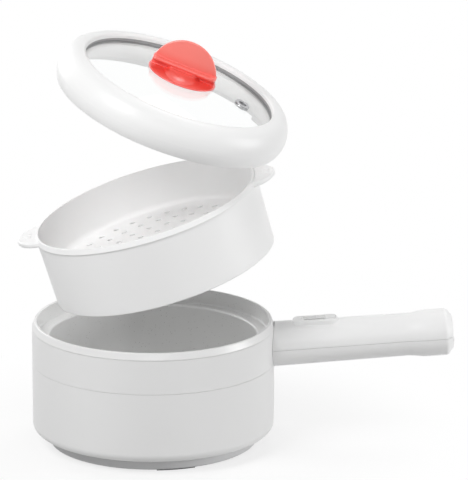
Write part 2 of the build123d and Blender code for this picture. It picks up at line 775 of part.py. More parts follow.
def make_tongue_screws():
    """Screws from the lower shell into the bracket's tongue."""
    tip = TONGUE_THICKNESS / 2 + TONGUE_SCREW_TIP
    sizes = (TONGUE_SCREW_RADIUS, TONGUE_SCREW_HEAD_RADIUS, tip)
    return [handle_screw(x, *sizes) for x in tongue_screw_places]


def inlet_bar(margin, start, end):
    """Rounded bar along the handle's axis, as wide and high as the inlet plus a margin."""
    width = INLET_WIDTH + 2 * margin
    height = INLET_HEIGHT + 2 * margin
    face = RectangleRounded(width, height, INLET_CORNER + margin)
    return Pos(0, 0, HANDLE_LIFT) * extrude(Plane.YZ.offset(start) * face, end - start)


def make_power_inlet():
    """Insulating socket with a deep recess and a flange behind the end of the handle."""
    flange_front = HANDLE_LENGTH - HANDLE_DOME - HANDLE_WALL - HAIRLINE
    body = inlet_bar(0, inlet_back, inlet_face)
    flange = inlet_bar(INLET_FLANGE, flange_front - INLET_FLANGE, flange_front)
    recess = inlet_bar(-INLET_WALL, inlet_face - INLET_RECESS_DEPTH, inlet_face)
    bore = PIN_RADIUS + SCREW_CLEARANCE
    ways = [rod_along_x(bore, pin_back, inlet_face, y, HANDLE_LIFT) for y in pin_offsets]
    return handle_place * (body + flange - recess - ways)


def make_inlet_pins():
    """Round contact pins in the inlet."""
    front = pin_back + PIN_LENGTH
    pins = [rod_along_x(PIN_RADIUS, pin_back, front, y, HANDLE_LIFT) for y in pin_offsets]
    return [handle_place * pin for pin in pins]


# Heat control


def make_heat_slider():
    """Finger tab on a stem that reaches down into the switch."""
    under = pad_top - TRACK_DEPTH + RUNNING_GAP
    tab = block(
        (slider_place - SLIDER_LENGTH / 2, slider_place + SLIDER_LENGTH / 2),
        (-SLIDER_WIDTH / 2, SLIDER_WIDTH / 2),
        (under, pad_top + SLIDER_STAND),
    )
    tab = fillet(tab.edges().filter_by(Axis.Z), SLIDER_CORNER)
    tab = fillet(tab.faces().sort_by(Axis.Z)[-1].edges(), SLIDER_ROUNDING)
    stem = block(
        (slider_place - STEM_LENGTH / 2, slider_place + STEM_LENGTH / 2),
        (-STEM_WIDTH / 2, STEM_WIDTH / 2),
        (switch_top - SWITCH_GROOVE + RUNNING_GAP, under),
    )
    return handle_place * (tab + stem)


def make_switch_body():
    """Slide switch on the board, grooved for the slider's stem."""
    width = (-SWITCH_WIDTH / 2, SWITCH_WIDTH / 2)
    body = block((switch_start, switch_end), width, (board_top, switch_top))
    groove_half = STEM_LENGTH / 2 + RUNNING_GAP
    groove = block(
        (slider_first - groove_half, slider_place + groove_half),
        (-STEM_WIDTH / 2 - RUNNING_GAP, STEM_WIDTH / 2 + RUNNING_GAP),
        (switch_top - SWITCH_GROOVE, switch_top),
    )
    return handle_place * (body - groove)


def make_control_board():
    """Circuit board under the switch."""
    width = (-BOARD_WIDTH / 2, BOARD_WIDTH / 2)
    return handle_place * block((board_start, board_end), width, (board_bottom, board_top))


# Wires inside


def make_inlet_leads():
    """Two wires from the inlet pins to the board."""
    leads = []
    for pin_y in pin_offsets:
        run_y = math.copysign(INLET_WIRE_OFFSET, pin_y)
        points = [
            (pin_back - WIRE_END_GAP, pin_y, HANDLE_LIFT),
            (pin_back - 2 * WIRE_BEND, run_y, 0),
            (board_end + 3 * WIRE_BEND, run_y, 0),
            (board_end + WIRE_END_GAP, run_y, board_middle),
        ]
        leads.append(handle_place * wire(points))
    return leads


def make_heater_leads():
    """Two wires from the board, down inside the casing, to the heater's pins."""
    drop_x = bracket_inner - WIRE_DROP_GAP - WIRE_RADIUS
    half_gap = math.radians(ELEMENT_GAP_ANGLE / 2)
    pin_reach = ELEMENT_PIN_LENGTH + WIRE_END_GAP
    knee_reach = pin_reach + 1.5 * WIRE_BEND
    pin_x, knee_x = [
        element_radius * math.cos(half_gap) + reach * math.sin(half_gap)
        for reach in (pin_reach, knee_reach)
    ]
    pin_y, knee_y = [
        element_radius * math.sin(half_gap) - reach * math.cos(half_gap)
        for reach in (pin_reach, knee_reach)
    ]
    leads = []
    for side in (-1, 1):
        run_y = side * HEATER_WIRE_OFFSET
        start = handle_place * Pos(board_start - WIRE_END_GAP, run_y, board_middle)
        wall = handle_place * Pos(drop_x - POT_RADIUS, run_y, board_middle)
        points = [
            start.position,
            (drop_x, run_y, wall.position.Z),
            (drop_x, run_y, element_height),
            (knee_x, side * knee_y, element_height),
            (pin_x, side * pin_y, element_height),
        ]
        leads.append(wire(points))
    return leads


# Steamer bowl, drawn with its underside at Z = 0


def steam_holes():
    """Rings of round holes in the floor of the bowl."""
    bottom = STEAMER_FLOOR_RISE - STEAMER_FLOOR
    top = steamer_floor_top + STEAMER_FLOOR
    holes = [rod(HOLE_RADIUS, bottom, top)]
    for ring in range(1, HOLE_RING_COUNT + 1):
        for x, y in on_ring(ring * HOLE_RING_PITCH, 0, ring * HOLES_PER_RING_STEP):
            holes.append(rod(HOLE_RADIUS, bottom, top, x, y))
    return holes


def steamer_inner_radius(height):
    """Inner radius of the bowl's wall at a height."""
    foot_radius = steamer_bottom_radius - STEAMER_WALL
    return foot_radius + (steamer_mouth_radius - foot_radius) * height / STEAMER_HEIGHT


def make_steamer_bowl():
    """Tapered bowl with a bevelled rim, two ears and a raised floor full of steam holes."""
    band_bottom = STEAMER_HEIGHT - STEAMER_BAND_HEIGHT
    above = STEAMER_HEIGHT + STEAMER_BAND_HEIGHT
    bowl = turned(
        (0, 0, 0),
        (steamer_bottom_radius, 0, STEAMER_FOOT_ROUNDING),
        (steamer_top_radius, band_bottom, 0),
        (steamer_band_radius, band_bottom, 0),
        (steamer_band_radius, band_bottom + STEAMER_BAND_STEP, 0),
        (steamer_crest_radius, STEAMER_HEIGHT, STEAMER_CREST / 3),
        (0, STEAMER_HEIGHT, 0),
    )
    ear_top = STEAMER_HEIGHT - EAR_DROP
    for side in (-1, 1):
        ear = rod(EAR_RADIUS, ear_top - EAR_THICKNESS, ear_top, side * ear_centre)
        bowl += fillet(ear.edges().filter_by(GeomType.CIRCLE), EAR_ROUNDING)
    bowl -= turned(
        (0, steamer_floor_top, 0),
        (steamer_inner_radius(steamer_floor_top), steamer_floor_top, STEAMER_FLOOR_ROUNDING),
        (steamer_mouth_radius, STEAMER_HEIGHT, 0),
        (steamer_mouth_radius, above, 0),
        (0, above, 0),
    )
    bowl -= turned(
        (0, -STEAMER_FLOOR, 0),
        (steamer_inner_radius(0), -STEAMER_FLOOR, 0),
        (steamer_inner_radius(0), 0, 0),
        (steamer_inner_radius(STEAMER_FLOOR_RISE), STEAMER_FLOOR_RISE, STEAMER_FLOOR),
        (0, STEAMER_FLOOR_RISE, 0),
    )
    return bowl - steam_holes()


# Lid, drawn with the lower edge of its inner lip at Z = 0


def make_lid_cover_ring():
    """Puffed outer skin of the ring: a lip, a rounded crown and a tucked-in skirt."""
    inner_crown_radius = LID_CROWN_RADIUS - LID_WALL
    crown_drop = LID_LIP - LID_CROWN_RADIUS
    run = lid_radius - lid_crest_radius
    fall = LID_WIDEST_DROP + crown_drop
    side_radius = (run**2 + fall**2 - LID_CROWN_RADIUS**2) / (2 * (run - LID_CROWN_RADIUS))
    crown_centre = Vector(lid_crest_radius, crown_drop)
    side_centre = Vector(lid_radius - side_radius, -LID_WIDEST_DROP)
    lean = (crown_centre - side_centre).normalized()
    along = Vector(-lean.Y, lean.X)
    joint = crown_centre + lean * LID_CROWN_RADIUS
    inner_joint = crown_centre + lean * inner_crown_radius
    crest = (lid_crest_radius, LID_LIP)
    widest = (lid_radius, -LID_WIDEST_DROP)
    inner_widest = (lid_radius - LID_WALL, -LID_WIDEST_DROP)
    foot = (lid_skirt_radius, -LID_SEAT_DROP)
    inner_foot = (lid_skirt_radius - LID_WALL, -LID_SEAT_DROP)
    lip_bottom = (lid_opening_radius, 0)
    lip_side = (lid_opening_radius, LID_LIP - LID_LIP_WIDTH)
    web_end = (lid_crest_radius + math.sqrt(inner_crown_radius**2 - crown_drop**2), 0)
    outline = [
        Line(lip_bottom, lip_side),
        RadiusArc(lip_side, crest, LID_LIP_WIDTH),
        TangentArc(joint, crest, tangent=along),
        TangentArc(widest, joint, tangent=(0, 1)),
        TangentArc(widest, foot, tangent=(0, -1)),
        Line(foot, inner_foot),
        TangentArc(inner_widest, inner_foot, tangent=(0, -1)),
        TangentArc(inner_widest, inner_joint, tangent=(0, 1)),
        TangentArc(inner_joint, web_end, tangent=along),
        Line(web_end, lip_bottom),
    ]
    return revolve(Plane.XZ * make_face(outline), Axis.Z)


def make_lid_inner_ring():
    """Inner half of the ring: holds the glass up, and has three lugs that centre the lid in the bowl."""
    top = gasket_bottom - HAIRLINE
    foot_outer = lid_skirt_radius - LID_WALL - HAIRLINE
    inner_foot = lid_opening_radius + LID_INNER_FLARE
    gasket_outer = lid_opening_radius + RUNNING_GAP + GASKET_WIDTH
    ring = turned(
        (lid_opening_radius + RUNNING_GAP, top, 0),
        (gasket_outer, top, 0),
        (inner_foot + LID_WALL, LID_WALL / 2 - LID_INNER_DROP, 0),
        (foot_outer, LID_WALL - LID_SEAT_DROP, 0),
        (foot_outer, -LID_SEAT_DROP, 0),
        (lid_seat_inner, -LID_SEAT_DROP, 0),
        (inner_foot, -LID_INNER_DROP, LID_WALL),
    )
    lug_height = LUG_DROP + 2 * LUG_WALL
    lug_middle = Pos(lug_radius - LUG_WALL / 2, 2 * LUG_WALL - LID_SEAT_DROP - lug_height / 2)
    span = math.degrees(LUG_LENGTH / lug_radius)
    lug = revolve(Plane.XZ * lug_middle * Rectangle(LUG_WALL, lug_height), Axis.Z, span)
    for index in range(LUG_COUNT):
        ring += Rot(0, 0, LUG_FIRST_ANGLE - span / 2 + 360.0 * index / LUG_COUNT) * lug
    return ring


def glass_ball(shift):
    """Ball whose top is the glass's upper face, moved along Z."""
    return Pos(0, 0, shift) * glass_centre_place * Sphere(glass_sphere)


def make_lid_glass():
    """Domed glass with a bore for the knob's screw and one for the vent."""
    disc = rod(glass_radius, -2 * glass_rise, 2 * glass_rise)
    glass = disc & glass_ball(0)
    glass -= glass_ball(-GLASS_THICKNESS)
    glass -= rod(KNOB_SCREW_RADIUS + GLASS_BORE_CLEARANCE, -glass_rise, 2 * glass_rise)
    vent_bore = VENT_BORE_RADIUS + VENT_SHEET + HAIRLINE
    return glass - vent_place * rod(vent_bore, -2 * GLASS_THICKNESS, 2 * GLASS_THICKNESS)


def make_glass_gasket():
    """Silicone ring round the edge of the glass."""
    inner = lid_opening_radius + RUNNING_GAP
    ring = rod(inner + GASKET_WIDTH, gasket_bottom, -HAIRLINE)
    ring -= rod(inner, gasket_bottom, -HAIRLINE)
    disc = rod(glass_radius + SCREW_CLEARANCE, -2 * glass_rise, 2 * glass_rise)
    groove = disc & glass_ball(SCREW_CLEARANCE)
    groove -= glass_ball(-GLASS_THICKNESS - SCREW_CLEARANCE)
    return ring - groove


def make_vent_eyelet():
    """Rolled steel eyelet through the glass."""
    tube = VENT_BORE_RADIUS + VENT_SHEET
    under = -GLASS_THICKNESS - HAIRLINE
    eyelet = turned(
        (VENT_BORE_RADIUS, under - VENT_SHEET, 0),
        (VENT_FLANGE_RADIUS, under - VENT_SHEET, 0),
        (VENT_FLANGE_RADIUS, under, 0),
        (tube, under, 0),
        (tube, HAIRLINE, 0),
        (VENT_FLANGE_RADIUS, HAIRLINE, 0),
        (VENT_FLANGE_RADIUS, HAIRLINE + VENT_SHEET, VENT_SHEET / 2),
        (VENT_BORE_RADIUS, HAIRLINE + VENT_SHEET, VENT_SHEET / 2),
    )
    return vent_place * eyelet


def make_knob_fin():
    """Half-disc grip with gently domed faces, standing along X."""
    half = KNOB_FIN_THICKNESS / 2
    bulge = half - KNOB_FIN_EDGE / 2
    dome_sphere = (KNOB_FIN_RADIUS**2 + bulge**2) / (2 * bulge)
    disc = rod(KNOB_FIN_RADIUS, -half, half)
    for side in (-1, 1):
        disc &= Pos(0, 0, side * (half - dome_sphere)) * Sphere(dome_sphere)
    disc = fillet(disc.edges().filter_by(GeomType.CIRCLE), KNOB_FIN_ROUNDING)
    reach = 2 * KNOB_FIN_RADIUS
    upper = block((-reach, reach), (-reach, reach), (0, reach))
    return Pos(0, 0, KNOB_FIN_CENTRE) * Rot(90, 0, 0) * disc & upper


def make_lid_knob():
    """Round foot, domed neck, finger bead and standing half-disc grip in one piece."""
    foot_edge = KNOB_FOOT_EDGE - KNOB_FOOT_DROP
    neck_top = KNOB_BEAD_HEIGHT - KNOB_BEAD_THICKNESS / 2 + KNOB_NECK_SINK
    knob = turned(
        (0, -KNOB_FOOT_DROP, 0),
        (KNOB_FOOT_RADIUS, -KNOB_FOOT_DROP, 0),
        (KNOB_FOOT_RADIUS, foot_edge, KNOB_FOOT_ROUNDING),
        (KNOB_NECK_FOOT_RADIUS, KNOB_NECK_FOOT_RISE, KNOB_NECK_SWEEP),
        (KNOB_NECK_RADIUS, neck_top, KNOB_NECK_ROUNDING),
        (0, neck_top, 0),
    )
    bead_face = Plane.YZ.offset(-KNOB_FIN_RADIUS) * Pos(0, KNOB_BEAD_HEIGHT)
    bead_face = bead_face * Ellipse(KNOB_BEAD_DEPTH / 2, KNOB_BEAD_THICKNESS / 2)
    bead = extrude(bead_face, 2 * KNOB_FIN_RADIUS)
    bead &= rod(KNOB_FIN_RADIUS, 0, 2 * KNOB_BEAD_HEIGHT)
    knob = knob + bead + make_knob_fin()
    knob -= Pos(0, 0, 2 * HAIRLINE - GLASS_CROWN) * glass_ball(0)
    pilot = rod(KNOB_SCREW_RADIUS + SCREW_CLEARANCE, -KNOB_FOOT_DROP, KNOB_SCREW_REACH)
    return glass_crown_place * (knob - pilot)


def make_knob_washer():
    """Cup washer under the glass."""
    bore = KNOB_SCREW_RADIUS + RUNNING_GAP
    washer = rod(KNOB_WASHER_RADIUS, knob_underside - KNOB_WASHER, knob_underside)
    return glass_crown_place * (washer - rod(bore, -2 * GLASS_THICKNESS, 0))


def make_knob_screw():
    """Screw from under the glass up into the knob."""
    head_top = knob_underside - KNOB_WASHER - HAIRLINE
    head = rod(KNOB_SCREW_HEAD_RADIUS, head_top - KNOB_SCREW_HEAD, head_top)
    tip = KNOB_SCREW_REACH - SCREW_CLEARANCE
    return glass_crown_place * (head + rod(KNOB_SCREW_RADIUS, head_top, tip))


# Assembly


def standing(piece):
    """A piece of the pot, already in place."""
    return piece


def lifted_steamer(piece):
    """A piece of the bowl, seated on the ledge and then lifted."""
    return (Pos(0, 0, steamer_seat) * piece).rotate(steamer_lift_line, STEAMER_LIFT_ANGLE)


def lifted_lid(piece):
    """A piece of the lid, seated on the bowl, lifted from it and lifted with it."""
    seated = Pos(0, 0, lid_zero) * Rot(0, 0, LID_SPIN) * piece
    opened = seated.rotate(lid_lift_line, LID_LIFT_ANGLE)
    return opened.rotate(steamer_lift_line, STEAMER_LIFT_ANGLE)


PIECES = {
    "inner_pot": (make_inner_pot, standing),
    "pot_seal": (make_pot_seal, standing),
    "upper_shell": (make_upper_shell, standing),
    "lower_shell": (make_lower_shell, standing),
    "base_plate": (make_base_plate, standing),
    "rubber_feet": (make_rubber_feet, standing),
    "base_screws": (make_base_screws, standing),
    "heat_spreader": (make_heat_spreader, standing),
    "heating_element": (make_heating_element, standing),
    "thermostat": (make_thermostat, standing),
    "thermal_fuse": (make_thermal_fuse, standing),
    "fuse_clip": (make_fuse_clip, standing),
    "heat_shield": (make_heat_shield, standing),
    "handle_bracket": (make_handle_bracket, standing),
    "bracket_rivets": (make_bracket_rivets, standing),
    "handle_upper_half": (make_handle_upper_half, standing),
    "handle_lower_half": (make_handle_lower_half, standing),
    "handle_screws": (make_handle_screws, standing),
    "tongue_screws": (make_tongue_screws, standing),
    "power_inlet": (make_power_inlet, standing),
    "inlet_pins": (make_inlet_pins, standing),
    "heat_slider": (make_heat_slider, standing),
    "switch_body": (make_switch_body, standing),
    "control_board": (make_control_board, standing),
    "inlet_leads": (make_inlet_leads, standing),
    "heater_leads": (make_heater_leads, standing),
    "steamer_bowl": (make_steamer_bowl, lifted_steamer),
    "lid_cover_ring": (make_lid_cover_ring, lifted_lid),
    "lid_inner_ring": (make_lid_inner_ring, lifted_lid),
    "glass_gasket": (make_glass_gasket, lifted_lid),
    "lid_glass": (make_lid_glass, lifted_lid),
    "vent_eyelet": (make_vent_eyelet, lifted_lid),
    "lid_knob": (make_lid_knob, lifted_lid),
    "knob_washer": (make_knob_washer, lifted_lid),
    "knob_screw": (make_knob_screw, lifted_lid),
}


def main():
    """Make every piece, set it in place and write it under its own name."""
    os.makedirs("parts", exist_ok=True)
    for name, (make, place) in PIECES.items():
        made = make()
        pieces = made if isinstance(made, list) else [made]
        solids = [solid for piece in pieces for solid in place(piece).solids()]
        shape = solids[0] if len(solids) == 1 else Compound(solids)
        export_step(shape, f"parts/{name}.step")


main()
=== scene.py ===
"""Studio scene for the multicooker: pot with its handle, steamer bowl and glass lid.

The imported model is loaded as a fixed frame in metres. This script dresses its
nodes, replaces the knob by a moulded one, adds the raised marks on the ears and
sets up the floor, the lights and the camera.
"""
from __future__ import annotations

import json
import logging
import math
from abc import ABC, abstractmethod
from dataclasses import dataclass
from enum import Enum

import bmesh
import bpy
import numpy as np
from mathutils import Matrix, Vector

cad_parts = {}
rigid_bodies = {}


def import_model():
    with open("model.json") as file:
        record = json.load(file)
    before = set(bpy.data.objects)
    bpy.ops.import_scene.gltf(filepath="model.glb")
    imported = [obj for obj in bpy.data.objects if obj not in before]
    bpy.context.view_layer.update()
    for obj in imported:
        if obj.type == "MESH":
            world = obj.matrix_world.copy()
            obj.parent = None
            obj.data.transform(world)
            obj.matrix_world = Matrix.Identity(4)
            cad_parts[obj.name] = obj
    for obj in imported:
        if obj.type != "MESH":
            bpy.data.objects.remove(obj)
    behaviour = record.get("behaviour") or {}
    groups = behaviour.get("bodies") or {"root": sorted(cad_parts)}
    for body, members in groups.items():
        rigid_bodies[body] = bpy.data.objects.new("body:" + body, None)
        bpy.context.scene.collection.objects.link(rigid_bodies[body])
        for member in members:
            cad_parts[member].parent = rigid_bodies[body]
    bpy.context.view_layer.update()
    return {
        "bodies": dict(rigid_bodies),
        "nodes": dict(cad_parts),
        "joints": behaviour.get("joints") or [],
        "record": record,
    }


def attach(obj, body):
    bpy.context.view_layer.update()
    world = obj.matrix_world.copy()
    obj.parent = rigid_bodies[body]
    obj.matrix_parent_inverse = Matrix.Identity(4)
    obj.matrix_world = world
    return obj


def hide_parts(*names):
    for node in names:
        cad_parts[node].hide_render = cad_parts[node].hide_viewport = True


LOG = logging.getLogger("multicooker")
Colour = tuple[float, float, float]
Point = tuple[float, float, float]


class Slot(Enum):
    """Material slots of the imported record."""

    CASING = "white_casing"
    BOWL = "white_bowl"
    LID_RING = "white_lid_ring"
    COATING = "pot_coating"
    BASE = "grey_base"
    KNOB = "coral_knob"
    GLASS = "clear_glass"
    SILICONE = "grey_silicone"
    RUBBER = "black_rubber"
    STEEL = "bright_steel"
    POLISHED = "polished_steel"
    ALUMINIUM = "bare_aluminium"
    BRASS = "pin_brass"
    INSULATION = "dark_plastic"
    BOARD = "board_green"
    SLEEVE = "wire_sleeve"


class Body(Enum):
    """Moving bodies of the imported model."""

    POT = "pot_and_handle"
    SLIDER = "slider"
    STEAMER = "steamer"
    LID = "lid"


class Pen:
    """Adds and joins the nodes of one node tree."""

    def __init__(self, tree: bpy.types.NodeTree) -> None:
        """Start with an emptied tree.

        Args:
            tree: The tree of a material, a world or a node group.
        """
        self.tree = tree
        tree.nodes.clear()

    def add(self, kind: str, **values: object) -> bpy.types.Node:
        """Add a node and set its properties and inputs.

        Args:
            kind: Name of the node's type.
            values: Properties of the node, or inputs by name with spaces as underscores.

        Returns:
            The new node.
        """
        node = self.tree.nodes.new(kind)
        for key, value in values.items():
            if hasattr(node, key):
                setattr(node, key, value)
            else:
                node.inputs[key.replace("_", " ")].default_value = value
        return node

    def join(self, source: bpy.types.NodeSocket, target: bpy.types.NodeSocket) -> None:
        """Link an output to an input."""
        self.tree.links.new(source, target)

    def sum(self, operation: str, first: object, second: object) -> bpy.types.NodeSocket:
        """Add a Math node.

        Args:
            operation: Name of the operation.
            first: First operand, a socket or a number.
            second: Second operand, a socket or a number.

        Returns:
            The output of the node.
        """
        node = self.add("ShaderNodeMath", operation=operation)
        for socket, value in zip(node.inputs, (first, second)):
            if isinstance(value, bpy.types.NodeSocket):
                self.join(value, socket)
            else:
                socket.default_value = value
        return node.outputs[0]

    def ramp(self, source: bpy.types.NodeSocket, low: float, high: float,
             start: float = 0.0, end: float = 1.0) -> bpy.types.NodeSocket:
        """Add a smooth step between two values.

        Args:
            source: Value that is mapped.
            low: Where the step starts.
            high: Where it ends.
            start: Result below the step.
            end: Result above the step.

        Returns:
            The mapped value.
        """
        node = self.add("ShaderNodeMapRange", interpolation_type="SMOOTHSTEP",
                        From_Min=low, From_Max=high, To_Min=start, To_Max=end)
        self.join(source, node.inputs["Value"])
        return node.outputs["Result"]

    def blend(self, factor: bpy.types.NodeSocket, first: object, second: object) -> bpy.types.NodeSocket:
        """Add a colour mix.

        Args:
            factor: Share of the second colour.
            first: First colour, a socket or three numbers.
            second: Second colour, a socket or three numbers.

        Returns:
            The mixed colour.
        """
        node = self.add("ShaderNodeMix", data_type="RGBA")
        self.join(factor, node.inputs["Factor"])
        for socket, value in zip((node.inputs[6], node.inputs[7]), (first, second)):
            if isinstance(value, bpy.types.NodeSocket):
                self.join(value, socket)
            else:
                socket.default_value = (*value, 1.0)
        return node.outputs[2]


class Effects:
    """Shader effects that several finishes share, each a node group built once."""

    NOISE_MIDDLE: float = 0.5
    FINE_SHARE: float = 0.35
    DRIFT_SCALE: float = 9.0
    PATCH_STRETCH: Point = (2.4, 1.0, 0.7)
    PATCH_START: float = 0.48
    PATCH_END: float = 0.72
    EDGE_START: float = 0.02
    EDGE_END: float = 0.25
    LINE_STRETCH: Point = (1.0, 1.0, 40.0)

    def __init__(self) -> None:
        """Build every group."""
        self.grain = self.build_grain()
        self.marks = self.build_marks()
        self.edges = self.build_edges()
        self.brushed = self.build_brushed()

    @staticmethod
    def start(name: str, inputs: dict[str, float], outputs: dict[str, str]) -> tuple[Pen, dict, dict]:
        """Start a group with its sockets.

        Args:
            name: Name of the group.
            inputs: Value of each input by name.
            outputs: Socket type of each output by name.

        Returns:
            The pen of the group, its input sockets and its output sockets, by name.
        """
        tree = bpy.data.node_groups.new(name, "ShaderNodeTree")
        for label, value in inputs.items():
            socket = tree.interface.new_socket(label, in_out="INPUT", socket_type="NodeSocketFloat")
            socket.default_value = value
        for label, kind in outputs.items():
            tree.interface.new_socket(label, in_out="OUTPUT", socket_type=kind)
        pen = Pen(tree)
        source = pen.add("NodeGroupInput")
        target = pen.add("NodeGroupOutput")
        ins = {label: source.outputs[label] for label in inputs}
        outs = {label: target.inputs[label] for label in outputs}
        return pen, ins, outs

    def build_grain(self) -> bpy.types.NodeTree:
        """Fine moulded texture, with soft drifts of tone and gloss.

        Returns:
            The node group.
        """
        pen, ins, outs = self.start(
            "moulded_grain",
            {"Scale": 1500.0, "Tone Depth": 0.02, "Roughness": 0.4, "Roughness Spread": 0.05},
            {"Tone": "NodeSocketFloat", "Roughness": "NodeSocketFloat", "Height": "NodeSocketFloat"},
        )
        place = pen.add("ShaderNodeTexCoord").outputs["Object"]
        fine = pen.add("ShaderNodeTexNoise", Detail=3.0, Roughness=0.6)
        pen.join(place, fine.inputs["Vector"])
        pen.join(ins["Scale"], fine.inputs["Scale"])
        drift = pen.add("ShaderNodeTexNoise", Scale=self.DRIFT_SCALE, Detail=2.0, Roughness=0.5)
        pen.join(place, drift.inputs["Vector"])
        both = pen.sum("ADD", pen.sum("MULTIPLY", fine.outputs[0], self.FINE_SHARE),
                       pen.sum("MULTIPLY", drift.outputs[0], 1.0 - self.FINE_SHARE))
        centred = pen.sum("SUBTRACT", both, self.NOISE_MIDDLE)
        tone = pen.sum("ADD", 1.0, pen.sum("MULTIPLY", centred, ins["Tone Depth"]))
        spread = pen.sum("MULTIPLY", centred, ins["Roughness Spread"])
        pen.join(tone, outs["Tone"])
        pen.join(pen.sum("ADD", ins["Roughness"], spread), outs["Roughness"])
        pen.join(fine.outputs[0], outs["Height"])
        return pen.tree

    def build_marks(self) -> bpy.types.NodeTree:
        """Patches where hands and cloths have polished or dulled a surface.

        Returns:
            The node group.
        """
        pen, ins, outs = self.start(
            "wiped_marks", {"Scale": 30.0, "Amount": 0.3}, {"Mask": "NodeSocketFloat"}
        )
        place = pen.add("ShaderNodeTexCoord").outputs["Object"]
        stretch = pen.add("ShaderNodeMapping", vector_type="TEXTURE", Scale=self.PATCH_STRETCH)
        pen.join(place, stretch.inputs["Vector"])
        cloud = pen.add("ShaderNodeTexNoise", Detail=5.0, Roughness=0.62, Distortion=0.8)
        pen.join(stretch.outputs[0], cloud.inputs["Vector"])
        pen.join(ins["Scale"], cloud.inputs["Scale"])
        patch = pen.ramp(cloud.outputs[0], self.PATCH_START, self.PATCH_END)
        pen.join(pen.sum("MULTIPLY", patch, ins["Amount"]), outs["Mask"])
        return pen.tree

    def build_edges(self) -> bpy.types.NodeTree:
        """Small rounding of edges, and a mask of where they are.

        Returns:
            The node group.
        """
        pen, ins, outs = self.start(
            "eased_edges", {"Radius": 0.0006}, {"Normal": "NodeSocketVector", "Edge": "NodeSocketFloat"}
        )
        round_off = pen.add("ShaderNodeBevel", samples=6)
        pen.join(ins["Radius"], round_off.inputs["Radius"])
        facing = pen.add("ShaderNodeNewGeometry").outputs["Normal"]
        compare = pen.add("ShaderNodeVectorMath", operation="DOT_PRODUCT")
        pen.join(round_off.outputs[0], compare.inputs[0])
        pen.join(facing, compare.inputs[1])
        turned = pen.sum("SUBTRACT", 1.0, compare.outputs["Value"])
        pen.join(round_off.outputs[0], outs["Normal"])
        pen.join(pen.ramp(turned, self.EDGE_START, self.EDGE_END), outs["Edge"])
        return pen.tree

    def build_brushed(self) -> bpy.types.NodeTree:
        """Fine lines of brushed or turned metal.

        Returns:
            The node group.
        """
        pen, ins, outs = self.start(
            "brushed_lines", {"Scale": 90.0, "Roughness": 0.3, "Spread": 0.15},
            {"Line": "NodeSocketFloat", "Roughness": "NodeSocketFloat"},
        )
        place = pen.add("ShaderNodeTexCoord").outputs["Object"]
        stretch = pen.add("ShaderNodeMapping", Scale=self.LINE_STRETCH)
        pen.join(place, stretch.inputs["Vector"])
        lines = pen.add("ShaderNodeTexNoise", Detail=4.0, Roughness=0.7)
        pen.join(stretch.outputs[0], lines.inputs["Vector"])
        pen.join(ins["Scale"], lines.inputs["Scale"])
        centred = pen.sum("SUBTRACT", lines.outputs[0], self.NOISE_MIDDLE)
        spread = pen.sum("MULTIPLY", centred, ins["Spread"])
        pen.join(lines.outputs[0], outs["Line"])
        pen.join(pen.sum("ADD", ins["Roughness"], spread), outs["Roughness"])
        return pen.tree


class Finish(ABC):
    """Base of the finishes: starts a material, places shared effects in it and feeds its shader."""

    name: str

    @abstractmethod
    def material(self, effects: Effects) -> bpy.types.Material:
        """Build the material.

        Args:
            effects: The shared effects.

        Returns:
            The new material.
        """

    def start(self) -> tuple[bpy.types.Material, Pen, bpy.types.Node]:
        """Start a material with a Principled shader on its output.

        Returns:
            The material, its pen and the shader.
        """
        material = bpy.data.materials.new(f"{self.name}_finish")
        material.use_nodes = True
        pen = Pen(material.node_tree)
        output = pen.add("ShaderNodeOutputMaterial")
        shader = pen.add("ShaderNodeBsdfPrincipled")
        pen.join(shader.outputs[0], output.inputs["Surface"])
        return material, pen, shader

    @staticmethod
    def place(pen: Pen, group: bpy.types.NodeTree, **values: float) -> dict[str, bpy.types.NodeSocket]:
        """Place a shared effect.

        Args:
            pen: Pen of the material.
            group: The effect's node group.
            values: Inputs by name, with spaces as underscores.

        Returns:
            The outputs by name.
        """
        node = pen.add("ShaderNodeGroup")
        node.node_tree = group
        for key, value in values.items():
            node.inputs[key.replace("_", " ")].default_value = value
        return {socket.name: socket for socket in node.outputs}

    @staticmethod
    def paint(pen: Pen, shader: bpy.types.Node, colour: bpy.types.NodeSocket,
              tone: bpy.types.NodeSocket) -> None:
        """Feed the shader a colour that drifts with the grain's tone.

        Args:
            pen: Pen of the material.
            shader: The Principled shader.
            colour: The colour.
            tone: Factor close to 1.
        """
        toned = pen.add("ShaderNodeVectorMath", operation="SCALE")
        pen.join(colour, toned.inputs[0])
        pen.join(tone, toned.inputs["Scale"])
        pen.join(toned.outputs[0], shader.inputs["Base Color"])

    @staticmethod
    def emboss(pen: Pen, shader: bpy.types.Node, height: bpy.types.NodeSocket, strength: float,
               depth: float, normal: bpy.types.NodeSocket | None = None) -> None:
        """Raise a fine relief on the surface.

        Args:
            pen: Pen of the material.
            shader: The Principled shader.
            height: Height of the relief, from 0 to 1.
            strength: Share of the relief that shows.
            depth: Height of the relief in metres.
            normal: Normal that the relief is laid on, where it isn't the surface's own.
        """
        bump = pen.add("ShaderNodeBump", Strength=strength, Distance=depth)
        pen.join(height, bump.inputs["Height"])
        if normal is not None:
            pen.join(normal, bump.inputs["Normal"])
        pen.join(bump.outputs[0], shader.inputs["Normal"])


